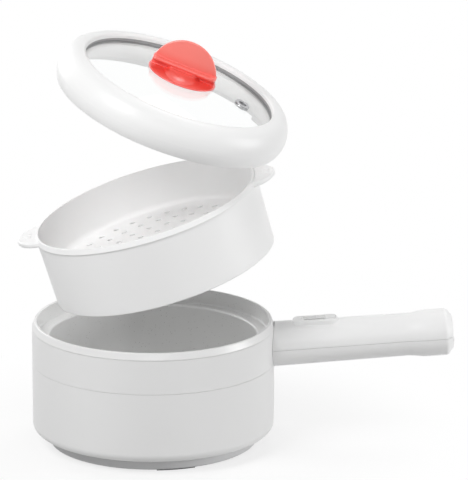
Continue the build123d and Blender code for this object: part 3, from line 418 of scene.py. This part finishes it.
@dataclass(frozen=True)
class MouldedPlastic(Finish):
    """Satin plastic with a fine grain, wiped patches and eased edges, which are painted a little paler as a
    painted highlight.
    """

    name: str
    colour: Colour
    # paler colour on the edges, a painted highlight
    edge_highlight_colour: Colour
    roughness: float = 0.42
    roughness_spread: float = 0.16
    grain_scale: float = 1500.0
    grain_strength: float = 0.35
    grain_depth: float = 0.00002
    tone_depth: float = 0.03
    edge_radius: float = 0.0006
    wiped: float = 0.25
    wipe_scale: float = 26.0
    wipe_gloss: float = 0.22
    specular: float = 0.35

    def material(self, effects: Effects) -> bpy.types.Material:
        """Build the material.

        Args:
            effects: The shared effects.

        Returns:
            The new material.
        """
        material, pen, shader = self.start()
        shader.inputs["Specular IOR Level"].default_value = self.specular
        grain = self.place(pen, effects.grain, Scale=self.grain_scale, Tone_Depth=self.tone_depth,
                           Roughness=self.roughness, Roughness_Spread=self.roughness_spread)
        marks = self.place(pen, effects.marks, Scale=self.wipe_scale, Amount=self.wiped)
        edges = self.place(pen, effects.edges, Radius=self.edge_radius)
        # painted highlight: the edges are blended towards a paler colour
        edge_highlighted = pen.blend(edges["Edge"], self.colour, self.edge_highlight_colour)
        self.paint(pen, shader, edge_highlighted, grain["Tone"])
        polish = pen.sum("MULTIPLY", marks["Mask"], self.wipe_gloss)
        pen.join(pen.sum("SUBTRACT", grain["Roughness"], polish), shader.inputs["Roughness"])
        self.emboss(pen, shader, grain["Height"], self.grain_strength, self.grain_depth, edges["Normal"])
        return material


@dataclass(frozen=True)
class CoralPlastic(Finish):
    """Glossy tinted plastic in a deep coral, paler towards the top as painted light, with paler edges as a
    painted highlight.
    """

    name: str
    foot_colour: Colour
    # the top colour is painted light: a paler coral for the knob's upper parts, standing in for sheen and
    # top light
    lit_top_colour: Colour
    # paler colour on the edges, a painted highlight
    edge_highlight_colour: Colour
    foot_point: Point
    axis: Point
    light_fade_start: float = 0.001
    light_fade_end: float = 0.017
    roughness: float = 0.34
    roughness_spread: float = 0.16
    grain_scale: float = 1500.0
    grain_strength: float = 0.3
    grain_depth: float = 0.00002
    tone_depth: float = 0.05
    edge_radius: float = 0.0004
    wiped: float = 0.3
    wipe_scale: float = 40.0
    wipe_gloss: float = 0.2
    specular: float = 0.6
    coat: float = 0.8
    coat_roughness: float = 0.25

    def painted_light_fade(self, pen: Pen) -> bpy.types.NodeSocket:
        """Fade the colour from the foot up along the axis into a paler top, painted light that stands in for
        the sheen and light on the knob's upper parts.

        Args:
            pen: Pen of the material.

        Returns:
            The colour.
        """
        offset = pen.add("ShaderNodeVectorMath", operation="SUBTRACT")
        pen.join(pen.add("ShaderNodeTexCoord").outputs["Object"], offset.inputs[0])
        offset.inputs[1].default_value = self.foot_point
        along = pen.add("ShaderNodeVectorMath", operation="DOT_PRODUCT")
        pen.join(offset.outputs[0], along.inputs[0])
        along.inputs[1].default_value = self.axis
        # painted light: the paler top colour takes over with height above the foot
        lit_share = pen.ramp(along.outputs["Value"], self.light_fade_start, self.light_fade_end)
        return pen.blend(lit_share, self.foot_colour, self.lit_top_colour)

    def material(self, effects: Effects) -> bpy.types.Material:
        """Build the material.

        Args:
            effects: The shared effects.

        Returns:
            The new material.
        """
        material, pen, shader = self.start()
        shader.inputs["Specular IOR Level"].default_value = self.specular
        shader.inputs["Coat Weight"].default_value = self.coat
        shader.inputs["Coat Roughness"].default_value = self.coat_roughness
        grain = self.place(pen, effects.grain, Scale=self.grain_scale, Tone_Depth=self.tone_depth,
                           Roughness=self.roughness, Roughness_Spread=self.roughness_spread)
        marks = self.place(pen, effects.marks, Scale=self.wipe_scale, Amount=self.wiped)
        edges = self.place(pen, effects.edges, Radius=self.edge_radius)
        # painted highlight: the edges are blended towards a paler colour, over the painted light of the fade
        edge_highlighted = pen.blend(edges["Edge"], self.painted_light_fade(pen), self.edge_highlight_colour)
        self.paint(pen, shader, edge_highlighted, grain["Tone"])
        polish = pen.sum("MULTIPLY", marks["Mask"], self.wipe_gloss)
        pen.join(pen.sum("SUBTRACT", grain["Roughness"], polish), shader.inputs["Roughness"])
        self.emboss(pen, shader, grain["Height"], self.grain_strength, self.grain_depth, edges["Normal"])
        return material


@dataclass(frozen=True)
class SpeckledCoating(Finish):
    """Pale cooking coating with tiny specks, and a plain rim painted a little darker as painted shade."""

    name: str
    colour: Colour
    speck_colour: Colour
    # the rim colour is darker than the coating, painted shade
    shaded_rim_colour: Colour
    rim_radius: float = 0.0985
    rim_blend: float = 0.0008
    speck_scale: float = 520.0
    speck_core: float = 0.12
    speck_edge: float = 0.24
    bare_share: float = 0.72
    roughness: float = 0.3
    roughness_spread: float = 0.14
    grain_scale: float = 900.0
    grain_strength: float = 0.25
    grain_depth: float = 0.00002
    tone_depth: float = 0.03
    edge_radius: float = 0.0005

    def rim(self, pen: Pen, place: bpy.types.NodeSocket) -> bpy.types.NodeSocket:
        """Mask of the rim, which lies outside a radius about the pot's axis.

        Args:
            pen: Pen of the material.
            place: Place on the surface.

        Returns:
            1 on the rim and 0 inside the pot.
        """
        split = pen.add("ShaderNodeSeparateXYZ")
        pen.join(place, split.inputs[0])
        squares = [pen.sum("POWER", split.outputs[axis], 2.0) for axis in (0, 1)]
        radius = pen.sum("SQRT", pen.sum("ADD", *squares), 0.0)
        return pen.ramp(radius, self.rim_radius - self.rim_blend, self.rim_radius + self.rim_blend)

    def specks(self, pen: Pen, place: bpy.types.NodeSocket) -> bpy.types.NodeSocket:
        """Mask of the specks, which lie in some of the cells of a fine pattern.

        Args:
            pen: Pen of the material.
            place: Place on the surface.

        Returns:
            1 on a speck and 0 beside it.
        """
        cells = pen.add("ShaderNodeTexVoronoi", feature="F1", Scale=self.speck_scale, Randomness=1.0)
        pen.join(place, cells.inputs["Vector"])
        dot = pen.ramp(cells.outputs["Distance"], self.speck_core, self.speck_edge, 1.0, 0.0)
        pick = pen.add("ShaderNodeTexWhiteNoise", noise_dimensions="3D")
        pen.join(cells.outputs["Position"], pick.inputs["Vector"])
        kept = pen.sum("GREATER_THAN", pick.outputs["Value"], self.bare_share)
        return pen.sum("MULTIPLY", dot, kept)

    def material(self, effects: Effects) -> bpy.types.Material:
        """Build the material.

        Args:
            effects: The shared effects.

        Returns:
            The new material.
        """
        material, pen, shader = self.start()
        place = pen.add("ShaderNodeTexCoord").outputs["Object"]
        inside = pen.blend(self.specks(pen, place), self.colour, self.speck_colour)
        # painted shade: the rim gets the darker rim colour
        surface = pen.blend(self.rim(pen, place), inside, self.shaded_rim_colour)
        grain = self.place(pen, effects.grain, Scale=self.grain_scale, Tone_Depth=self.tone_depth,
                           Roughness=self.roughness, Roughness_Spread=self.roughness_spread)
        edges = self.place(pen, effects.edges, Radius=self.edge_radius)
        self.paint(pen, shader, surface, grain["Tone"])
        pen.join(grain["Roughness"], shader.inputs["Roughness"])
        self.emboss(pen, shader, grain["Height"], self.grain_strength, self.grain_depth, edges["Normal"])
        return material


@dataclass(frozen=True)
class ClearGlass(Finish):
    """Clear tempered glass with faint wiped marks, open to lamp light."""

    name: str
    colour: Colour
    refraction: float = 1.5
    wiped: float = 0.05
    wipe_scale: float = 22.0

    def material(self, effects: Effects) -> bpy.types.Material:
        """Build the material.

        Args:
            effects: The shared effects.

        Returns:
            The new material.
        """
        material, pen, shader = self.start()
        shader.inputs["Base Color"].default_value = (*self.colour, 1.0)
        shader.inputs["Transmission Weight"].default_value = 1.0
        shader.inputs["IOR"].default_value = self.refraction
        marks = self.place(pen, effects.marks, Scale=self.wipe_scale, Amount=self.wiped)
        pen.join(marks["Mask"], shader.inputs["Roughness"])
        path = pen.add("ShaderNodeLightPath")
        open_way = pen.add("ShaderNodeBsdfTransparent")
        open_way.inputs[0].default_value = (*self.colour, 1.0)
        either = pen.sum("MAXIMUM", path.outputs["Is Shadow Ray"], path.outputs["Is Diffuse Ray"])
        mix = pen.add("ShaderNodeMixShader")
        pen.join(either, mix.inputs[0])
        pen.join(shader.outputs[0], mix.inputs[1])
        pen.join(open_way.outputs[0], mix.inputs[2])
        output = next(node for node in pen.tree.nodes if node.type == "OUTPUT_MATERIAL")
        pen.join(mix.outputs[0], output.inputs["Surface"])
        return material


@dataclass(frozen=True)
class SoftRubber(Finish):
    """Rubber or silicone with a dusty, fine grain."""

    name: str
    colour: Colour
    dust_colour: Colour
    dust: float = 0.4
    dust_scale: float = 60.0
    roughness: float = 0.62
    roughness_spread: float = 0.2
    grain_scale: float = 2200.0
    grain_strength: float = 0.5
    grain_depth: float = 0.00003
    tone_depth: float = 0.2

    def material(self, effects: Effects) -> bpy.types.Material:
        """Build the material.

        Args:
            effects: The shared effects.

        Returns:
            The new material.
        """
        material, pen, shader = self.start()
        grain = self.place(pen, effects.grain, Scale=self.grain_scale, Tone_Depth=self.tone_depth,
                           Roughness=self.roughness, Roughness_Spread=self.roughness_spread)
        marks = self.place(pen, effects.marks, Scale=self.dust_scale, Amount=self.dust)
        dusty = pen.blend(marks["Mask"], self.colour, self.dust_colour)
        self.paint(pen, shader, dusty, grain["Tone"])
        pen.join(grain["Roughness"], shader.inputs["Roughness"])
        self.emboss(pen, shader, grain["Height"], self.grain_strength, self.grain_depth)
        return material


@dataclass(frozen=True)
class WorkedMetal(Finish):
    """Bare metal with fine working lines."""

    name: str
    colour: Colour
    line_colour: Colour
    roughness: float = 0.3
    roughness_spread: float = 0.2
    line_scale: float = 90.0
    line_strength: float = 0.15
    line_depth: float = 0.00002
    edge_radius: float = 0.0003

    def material(self, effects: Effects) -> bpy.types.Material:
        """Build the material.

        Args:
            effects: The shared effects.

        Returns:
            The new material.
        """
        material, pen, shader = self.start()
        shader.inputs["Metallic"].default_value = 1.0
        lines = self.place(pen, effects.brushed, Scale=self.line_scale, Roughness=self.roughness,
                           Spread=self.roughness_spread)
        edges = self.place(pen, effects.edges, Radius=self.edge_radius)
        pen.join(pen.blend(lines["Line"], self.line_colour, self.colour), shader.inputs["Base Color"])
        pen.join(lines["Roughness"], shader.inputs["Roughness"])
        self.emboss(pen, shader, lines["Line"], self.line_strength, self.line_depth, edges["Normal"])
        return material


@dataclass(frozen=True)
class CircuitBoard(Finish):
    """Solder resist over a grid of copper tracks."""

    name: str
    colour: Colour
    track_colour: Colour
    track_scale: float = 160.0
    track_width: float = 0.06
    track_strength: float = 0.3
    track_depth: float = 0.00004
    roughness: float = 0.35
    roughness_spread: float = 0.1
    grain_scale: float = 1200.0

    def material(self, effects: Effects) -> bpy.types.Material:
        """Build the material.

        Args:
            effects: The shared effects.

        Returns:
            The new material.
        """
        material, pen, shader = self.start()
        place = pen.add("ShaderNodeTexCoord").outputs["Object"]
        tracks = pen.add("ShaderNodeTexBrick", Scale=self.track_scale, Mortar_Size=self.track_width)
        pen.join(place, tracks.inputs["Vector"])
        grain = self.place(pen, effects.grain, Scale=self.grain_scale, Roughness=self.roughness,
                           Roughness_Spread=self.roughness_spread)
        mixed = pen.blend(tracks.outputs["Fac"], self.colour, self.track_colour)
        pen.join(mixed, shader.inputs["Base Color"])
        pen.join(grain["Roughness"], shader.inputs["Roughness"])
        self.emboss(pen, shader, tracks.outputs["Fac"], self.track_strength, self.track_depth)
        return material


@dataclass(frozen=True)
class Lift:
    """Turn about a fixed line that carries a loose piece from its seat into the air."""

    point: Point
    direction: Point
    degrees: float

    def matrix(self) -> Matrix:
        """Give the turn.

        Returns:
            The matrix that takes the seated piece to its rest place.
        """
        turn = Matrix.Rotation(math.radians(self.degrees), 4, Vector(self.direction).normalized())
        return Matrix.Translation(self.point) @ turn @ Matrix.Translation(-Vector(self.point))


# Lines that lift the bowl and the lid, and the crown of the glass, all for the seated stack
STEAMER_LIFT = Lift((-0.19206, 0.0, 0.16049), (0.1679, -0.9855, -0.0239), 16.445)
LID_LIFT = Lift((0.13172, 0.0, 0.12797), (0.1054, 0.9944, 0.0033), 36.149)
KNOB_SEAT = 0.1919
KNOB_SPIN = -9.5
KNOB_PLACE = (STEAMER_LIFT.matrix() @ LID_LIFT.matrix() @ Matrix.Translation((0.0, 0.0, KNOB_SEAT))
              @ Matrix.Rotation(math.radians(KNOB_SPIN), 4, "Z"))


# The second colour of each plastic is its edge colour, paler as a painted highlight; for the knob it is the
# third.
FINISHES: dict[Slot, Finish] = {
    # painted light and shade: one white plastic in copies, the casing's darker as painted shade, the bowl's
    # and ring's paler as painted light
    Slot.CASING: MouldedPlastic("casing_white_shaded", (0.83, 0.83, 0.828), (0.86, 0.86, 0.858)),
    Slot.BOWL: MouldedPlastic("bowl_white_lit", (0.92, 0.92, 0.918), (0.94, 0.94, 0.938), roughness=0.48),
    Slot.LID_RING: MouldedPlastic("ring_white_lit", (0.92, 0.92, 0.918), (0.94, 0.94, 0.938), roughness=0.36),
    # pot coating: the third colour is the rim, darker as painted shade
    Slot.COATING: SpeckledCoating("pot_coating", (0.85, 0.85, 0.845), (0.62, 0.62, 0.61), (0.8, 0.8, 0.797)),
    Slot.BASE: MouldedPlastic("base_grey", (0.7, 0.7, 0.705), (0.74, 0.74, 0.745), roughness=0.5,
                              tone_depth=0.06),
    # coral knob: its own deep coral at the foot, a paler top as painted light, paler edges as a painted
    # highlight
    Slot.KNOB: CoralPlastic("knob_coral", (0.88, 0.07, 0.052), (0.99, 0.21, 0.17), (0.93, 0.14, 0.11),
                            tuple(KNOB_PLACE.translation), tuple(KNOB_PLACE.col[2].xyz)),
    Slot.GLASS: ClearGlass("lid_glass", (0.985, 0.992, 0.99)),
    Slot.SILICONE: SoftRubber("gasket_grey", (0.33, 0.33, 0.335), (0.38, 0.38, 0.38)),
    Slot.RUBBER: SoftRubber("foot_rubber", (0.12, 0.12, 0.12), (0.2, 0.2, 0.195)),
    Slot.STEEL: WorkedMetal("plain_steel", (0.66, 0.66, 0.66), (0.5, 0.5, 0.5), roughness=0.36),
    Slot.POLISHED: WorkedMetal("polished_steel", (0.42, 0.42, 0.43), (0.36, 0.36, 0.37), roughness=0.48,
                               line_scale=220.0),
    Slot.ALUMINIUM: WorkedMetal("bare_aluminium", (0.8, 0.8, 0.81), (0.66, 0.66, 0.67), roughness=0.4),
    Slot.BRASS: WorkedMetal("pin_brass", (0.82, 0.65, 0.34), (0.68, 0.5, 0.24), roughness=0.26),
    Slot.INSULATION: MouldedPlastic("dark_plastic", (0.05, 0.05, 0.055), (0.09, 0.09, 0.095), roughness=0.55,
                                    tone_depth=0.2),
    Slot.BOARD: CircuitBoard("board_green", (0.03, 0.16, 0.07), (0.07, 0.26, 0.12)),
    Slot.SLEEVE: SoftRubber("wire_sleeve", (0.78, 0.76, 0.72), (0.62, 0.6, 0.56)),
}


class Wardrobe:
    """Makes each finish once and hands it out by slot."""

    def __init__(self) -> None:
        """Build the shared effects."""
        self.effects = Effects()
        self.made: dict[Slot, bpy.types.Material] = {}

    def get(self, slot: Slot) -> bpy.types.Material:
        """Give the material of a slot.

        Args:
            slot: The slot of the record.

        Returns:
            Its material, made on the first call.
        """
        if slot not in self.made:
            self.made[slot] = FINISHES[slot].material(self.effects)
        return self.made[slot]

    def dress(self, piece: bpy.types.Object, slot: Slot) -> None:
        """Give a piece the finish of a slot.

        Args:
            piece: The piece.
            slot: The slot of the record.
        """
        piece.data.materials.clear()
        piece.data.materials.append(self.get(slot))
        LOG.info("dressed %s in %s", piece.name, slot.value)


def new_piece(name: str, vertices: list[Vector], faces: list[tuple[int, ...]]) -> bpy.types.Object:
    """Make a smooth mesh piece and put it in the scene.

    Args:
        name: Name of the piece.
        vertices: Points in metres.
        faces: Index loops.

    Returns:
        The new object.
    """
    mesh = bpy.data.meshes.new(name)
    mesh.from_pydata([tuple(point) for point in vertices], [], faces)
    mesh.validate()
    mesh.shade_smooth()
    piece = bpy.data.objects.new(name, mesh)
    bpy.context.scene.collection.objects.link(piece)
    return piece


@dataclass
class DressedBody:
    """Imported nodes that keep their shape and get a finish."""

    wardrobe: Wardrobe
    frame: dict

    def dress_nodes(self, body: Body) -> None:
        """Dress every node of a body by its slot in the record.

        Args:
            body: The body whose nodes are dressed.
        """
        slots = {row["node"]: Slot(row["material_slot"]) for row in self.frame["record"]["subparts"]}
        for name in self.frame["record"]["behaviour"]["bodies"][body.value]:
            self.wardrobe.dress(self.frame["nodes"][name], slots[name])


@dataclass
class PotWithHandle(DressedBody):
    """Pot, casing, base and handle."""

    def build(self) -> None:
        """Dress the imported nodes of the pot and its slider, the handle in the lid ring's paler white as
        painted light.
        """
        self.dress_nodes(Body.POT)
        self.dress_nodes(Body.SLIDER)
        # painted light: the handle gets the paler ring white instead of the casing's
        for name in ("handle_upper_half", "handle_lower_half"):
            self.wardrobe.dress(self.frame["nodes"][name], Slot.LID_RING)


@dataclass
class SteamerBowl(DressedBody):
    """Steamer bowl, with a raised steam mark on each ear."""

    seat: float = 0.0943
    ear_top: float = 0.0600
    ear_middle: float = 0.1045
    wave_count: int = 3
    wave_pitch: float = 0.0036
    wave_length: float = 0.0085
    wave_swing: float = 0.0007
    wave_width: float = 0.0011
    wave_height: float = 0.0007
    wave_sink: float = 0.00005
    wave_steps: int = 24
    wave_lanes: int = 8
    tip_fullness: int = 6
    least_width: float = 0.02

    def build(self) -> None:
        """Dress the bowl and put the marks on its ears."""
        self.dress_nodes(Body.STEAMER)
        for side, label in ((-1, "left"), (1, "right")):
            self.build_mark(side, label)

    def build_mark(self, side: int, label: str) -> None:
        """Raise three short waves on an ear.

        Args:
            side: -1 for the left ear and 1 for the right one.
            label: Word for the piece's name.
        """
        place = STEAMER_LIFT.matrix() @ Matrix.Translation((0.0, 0.0, self.seat))
        vertices: list[Vector] = []
        faces: list[tuple[int, ...]] = []
        for wave in range(self.wave_count):
            middle = (wave - (self.wave_count - 1) / 2) * self.wave_pitch
            first = len(vertices)
            for step in range(self.wave_steps + 1):
                share = step / self.wave_steps
                taper = math.sqrt(max(0.0, 1.0 - (2.0 * share - 1.0) ** self.tip_fullness))
                x = side * self.ear_middle + (share - 0.5) * self.wave_length
                y = middle + self.wave_swing * math.sin(2.0 * math.pi * share)
                for lane in range(self.wave_lanes + 1):
                    angle = math.pi * lane / self.wave_lanes
                    spread = -math.cos(angle) * self.wave_width / 2 * max(taper, self.least_width)
                    rise = math.sin(angle) * self.wave_height * taper - self.wave_sink
                    vertices.append(place @ Vector((x, y + spread, self.ear_top + rise)))
            row = self.wave_lanes + 1
            for step in range(self.wave_steps):
                for lane in range(self.wave_lanes):
                    low = first + step * row + lane
                    faces.append((low, low + row, low + row + 1, low + 1))
        piece = new_piece(f"ear_mark_{label}", vertices, faces)
        self.wardrobe.dress(piece, Slot.BOWL)
        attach(piece, Body.STEAMER.value)


@dataclass
class GlassLid(DressedBody):
    """Glass lid with its puffed ring and a moulded knob."""

    mound_across: float = 0.0165
    mound_along: float = 0.027
    mound_rise: float = 0.0043
    mound_floor: float = 0.00035
    mound_fullness: float = 3.0
    mound_fall: float = 0.8
    mound_edge: float = 0.00002
    mound_pole: float = 0.02
    mound_rings: int = 14
    mound_sides: int = 64
    glass_curve: float = 0.594
    rod_radius: float = 0.0023
    rod_height: float = 0.0062
    rod_offset: float = 0.0051
    rod_half_length: float = 0.0272
    rod_sides: int = 32
    rod_cap_steps: int = 8
    voxel: float = 0.0004
    smoothing_rounds: int = 8
    smoothing_in: float = 0.5
    smoothing_out: float = -0.52

    def build(self) -> None:
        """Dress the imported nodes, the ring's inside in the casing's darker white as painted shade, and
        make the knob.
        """
        self.dress_nodes(Body.LID)
        # painted shade: the ring's inside gets the darker casing white
        self.wardrobe.dress(self.frame["nodes"]["lid_inner_ring"], Slot.CASING)
        self.build_knob()

    def add_mound(self, mesh: bpy.types.Mesh) -> None:
        """Add the long rounded mound that runs out from under the bead to the edge of the foot.

        Args:
            mesh: Mesh of the knob, changed in place.
        """
        shape = bmesh.new()
        shape.from_mesh(mesh)
        layers: dict[bool, list[list[bmesh.types.BMVert]]] = {True: [], False: []}
        for upper, layer in layers.items():
            for ring in range(self.mound_rings + 1):
                share = max(ring, self.mound_pole) / self.mound_rings
                fullness = max(0.0, 1.0 - share**self.mound_fullness) ** self.mound_fall
                row = []
                for side in range(self.mound_sides):
                    angle = 2.0 * math.pi * side / self.mound_sides
                    x = self.mound_across * share * math.cos(angle)
                    y = self.mound_along * share * math.sin(angle)
                    z = self.mound_floor - (x * x + y * y) / self.glass_curve
                    if upper:
                        z += self.mound_rise * fullness + self.mound_edge
                    row.append(shape.verts.new(KNOB_PLACE @ Vector((x, y, z))))
                layer.append(row)
        for upper, layer in layers.items():
            for inner, outer in zip(layer, layer[1:]):
                self.bridge(shape, inner, outer, upper)
            shape.faces.new(layer[0] if upper else layer[0][::-1])
        self.bridge(shape, layers[True][-1], layers[False][-1], True)
        shape.to_mesh(mesh)
        shape.free()

    def add_rods(self, mesh: bpy.types.Mesh) -> None:
        """Fill out the finger bead, so that it is round along the front and the back.

        Args:
            mesh: Mesh of the knob, changed in place.
        """
        shape = bmesh.new()
        shape.from_mesh(mesh)
        straight = self.rod_half_length - self.rod_radius
        stations: list[tuple[float, float]] = []
        for step in range(1, self.rod_cap_steps + 1):
            angle = math.pi / 2 * step / self.rod_cap_steps
            radius = self.rod_radius * math.sin(angle)
            stations.append((-straight - self.rod_radius * math.cos(angle), radius))
        stations += [(-x, radius) for x, radius in reversed(stations)]
        for end in (-1, 1):
            rows = []
            for x, radius in stations:
                row = []
                for side in range(self.rod_sides):
                    angle = 2.0 * math.pi * side / self.rod_sides
                    y = end * self.rod_offset + radius * math.cos(angle)
                    z = self.rod_height + radius * math.sin(angle)
                    row.append(shape.verts.new(KNOB_PLACE @ Vector((x, y, z))))
                rows.append(row)
            for inner, outer in zip(rows, rows[1:]):
                self.bridge(shape, inner, outer, True)
            shape.faces.new(rows[0])
            shape.faces.new(rows[-1][::-1])
        shape.to_mesh(mesh)
        shape.free()

    @staticmethod
    def bridge(shape: bmesh.types.BMesh, inner: list, outer: list, upper: bool) -> None:
        """Join two closed rows of points by faces.

        Args:
            shape: The mesh that gets the faces.
            inner: First row.
            outer: Second row, as long as the first.
            upper: Whether the faces look up.
        """
        count = len(inner)
        for side in range(count):
            after = (side + 1) % count
            loop = (inner[side], outer[side], outer[after], inner[after])
            shape.faces.new(loop if upper else loop[::-1])

    def build_knob(self) -> None:
        """Make the knob as one moulding, with its corners softly blended."""
        source = self.frame["nodes"]["lid_knob"]
        piece = bpy.data.objects.new("coral_knob", source.data.copy())
        self.add_mound(piece.data)
        self.add_rods(piece.data)
        bpy.context.scene.collection.objects.link(piece)
        remesh = piece.modifiers.new("moulding", "REMESH")
        remesh.mode = "VOXEL"
        remesh.voxel_size = self.voxel
        remesh.use_smooth_shade = True
        depsgraph = bpy.context.evaluated_depsgraph_get()
        moulded = bpy.data.meshes.new_from_object(piece.evaluated_get(depsgraph))
        piece.modifiers.clear()
        piece.data = moulded
        self.soften(moulded)
        moulded.shade_smooth()
        self.wardrobe.dress(piece, Slot.KNOB)
        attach(piece, Body.LID.value)
        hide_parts("lid_knob")

    def soften(self, mesh: bpy.types.Mesh) -> None:
        """Round the corners of a mesh without shrinking it.

        Args:
            mesh: The mesh, changed in place.
        """
        count = len(mesh.vertices)
        points = np.empty(count * 3)
        mesh.vertices.foreach_get("co", points)
        points = points.reshape(-1, 3)
        pairs = np.empty(len(mesh.edges) * 2, dtype=np.int64)
        mesh.edges.foreach_get("vertices", pairs)
        pairs = pairs.reshape(-1, 2)
        degree = np.bincount(pairs.ravel(), minlength=count).astype(float)[:, None]
        for _ in range(self.smoothing_rounds):
            for share in (self.smoothing_in, self.smoothing_out):
                total = np.zeros_like(points)
                for axis in range(3):
                    total[:, axis] += np.bincount(pairs[:, 0], points[pairs[:, 1], axis], count)
                    total[:, axis] += np.bincount(pairs[:, 1], points[pairs[:, 0], axis], count)
                points += share * (total / degree - points)
        mesh.vertices.foreach_set("co", points.ravel())
        mesh.update()


@dataclass(frozen=True)
class Lamp:
    """Square soft lamp that faces the object."""

    name: str
    place: Point
    size: float
    power: float
    aim: Point = (0.03, 0.0, 0.13)

    def build(self) -> None:
        """Hang the lamp."""
        data = bpy.data.lights.new(self.name, "AREA")
        data.shape = "SQUARE"
        data.size = self.size
        data.energy = self.power
        lamp = bpy.data.objects.new(self.name, data)
        lamp.location = self.place
        way = Vector(self.aim) - Vector(self.place)
        lamp.rotation_euler = way.to_track_quat("-Z", "Y").to_euler()
        bpy.context.scene.collection.objects.link(lamp)


LAMPS = (
    Lamp("key_lamp", (-0.86, -1.083, 1.564), 0.9, 24.0),
    Lamp("right_lamp", (2.035, -0.174, 0.324), 0.9, 21.0),
    Lamp("front_lamp", (0.05, -1.813, 0.995), 0.6, 4.0),
    Lamp("back_lamp", (0.69, 0.94, 1.94), 0.7, 7.0, (0.03, 0.0, 0.31)),
    Lamp("back_left_lamp", (-1.2, 1.5, 0.8), 0.9, 11.0),
)


@dataclass
class Studio:
    """White sweep, soft lamps and the camera."""

    target: Point = (0.068435, 0.0, 0.176324)
    distance: float = 4.0
    elevation: float = 15.58
    lens: float = 356.35
    sensor: float = 36.0
    far_clip: float = 50.0
    ambient: float = 0.19
    floor_rings: tuple[float, ...] = (0.3, 1.0, 3.0, 9.0)
    floor_sides: int = 96
    floor_colour: Colour = (0.94, 0.94, 0.94)
    bounce_colour: Colour = (0.6, 0.6, 0.6)
    shadow_share: float = 0.25
    shadow_start: float = 0.1
    shadow_end: float = 0.28

    def build(self) -> None:
        """Set up the world, the floor, the lamps and the camera."""
        bpy.context.scene.view_settings.view_transform = "Standard"
        self.build_world()
        self.build_floor()
        for lamp in LAMPS:
            lamp.build()
        self.build_camera()

    @staticmethod
    def seen_rays(pen: Pen) -> bpy.types.NodeSocket:
        """Mask of the rays that show a background: straight, mirrored or through glass.

        Args:
            pen: Pen of the material or world.

        Returns:
            1 for such rays and 0 for the rest.
        """
        path = pen.add("ShaderNodeLightPath")
        bent = pen.sum("MAXIMUM", path.outputs["Is Glossy Ray"], path.outputs["Is Transmission Ray"])
        return pen.sum("MAXIMUM", path.outputs["Is Camera Ray"], bent)

    def build_world(self) -> None:
        """White where it is seen, and a dimmer soft light on the object."""
        world = bpy.data.worlds.new("white_sweep")
        bpy.context.scene.world = world
        world.use_nodes = True
        pen = Pen(world.node_tree)
        output = pen.add("ShaderNodeOutputWorld")
        sky = pen.add("ShaderNodeBackground", Color=(1.0, 1.0, 1.0, 1.0))
        seen = self.seen_rays(pen)
        pen.join(pen.sum("ADD", self.ambient, pen.sum("MULTIPLY", seen, 1.0 - self.ambient)),
                 sky.inputs["Strength"])
        pen.join(sky.outputs[0], output.inputs["Surface"])

    def build_floor(self) -> None:
        """Round pale floor that keeps a soft shadow and fades to white."""
        sides = self.floor_sides
        vertices = [Vector((0.0, 0.0, 0.0))]
        faces: list[tuple[int, ...]] = []
        for ring in self.floor_rings:
            for side in range(sides):
                angle = 2.0 * math.pi * side / sides
                vertices.append(Vector((ring * math.cos(angle), ring * math.sin(angle), 0.0)))
        for side in range(sides):
            faces.append((0, 1 + side, 1 + (side + 1) % sides))
        for ring in range(len(self.floor_rings) - 1):
            for side in range(sides):
                near = 1 + ring * sides
                far = near + sides
                after = (side + 1) % sides
                faces.append((near + side, far + side, far + after, near + after))
        floor = new_piece("floor", vertices, faces)
        floor.data.materials.append(self.floor_material())

    def floor_material(self) -> bpy.types.Material:
        """Paint for the floor.

        Returns:
            The material.
        """
        material = bpy.data.materials.new("floor_paint")
        material.use_nodes = True
        pen = Pen(material.node_tree)
        output = pen.add("ShaderNodeOutputMaterial")
        paint = pen.add("ShaderNodeBsdfDiffuse")
        seen = self.seen_rays(pen)
        pen.join(pen.blend(seen, self.bounce_colour, self.floor_colour), paint.inputs[0])
        white = pen.add("ShaderNodeEmission")
        place = pen.add("ShaderNodeTexCoord").outputs["Object"]
        reach = pen.add("ShaderNodeVectorMath", operation="LENGTH")
        pen.join(place, reach.inputs[0])
        share = pen.ramp(reach.outputs["Value"], self.shadow_start, self.shadow_end,
                         1.0 - self.shadow_share, 1.0)
        mix = pen.add("ShaderNodeMixShader")
        pen.join(pen.sum("MULTIPLY", share, seen), mix.inputs[0])
        pen.join(paint.outputs[0], mix.inputs[1])
        pen.join(white.outputs[0], mix.inputs[2])
        pen.join(mix.outputs[0], output.inputs["Surface"])
        return material

    def build_camera(self) -> None:
        """Camera at the photographed angle."""
        data = bpy.data.cameras.new("camera")
        data.lens = self.lens
        data.sensor_width = self.sensor
        data.clip_end = self.far_clip
        camera = bpy.data.objects.new("camera", data)
        lean = math.radians(self.elevation)
        back = Vector((0.0, -math.cos(lean), math.sin(lean)))
        camera.location = Vector(self.target) + back * self.distance
        camera.rotation_euler = (math.radians(90.0) - lean, 0.0, 0.0)
        bpy.context.scene.collection.objects.link(camera)
        bpy.context.scene.camera = camera


def main() -> None:
    """Load the frame, dress it and set up the studio."""
    logging.basicConfig(level=logging.INFO, format="%(name)s: %(message)s")
    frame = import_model()
    wardrobe = Wardrobe()
    PotWithHandle(wardrobe, frame).build()
    SteamerBowl(wardrobe, frame).build()
    GlassLid(wardrobe, frame).build()
    Studio().build()


if __name__ == "__main__":
    main()
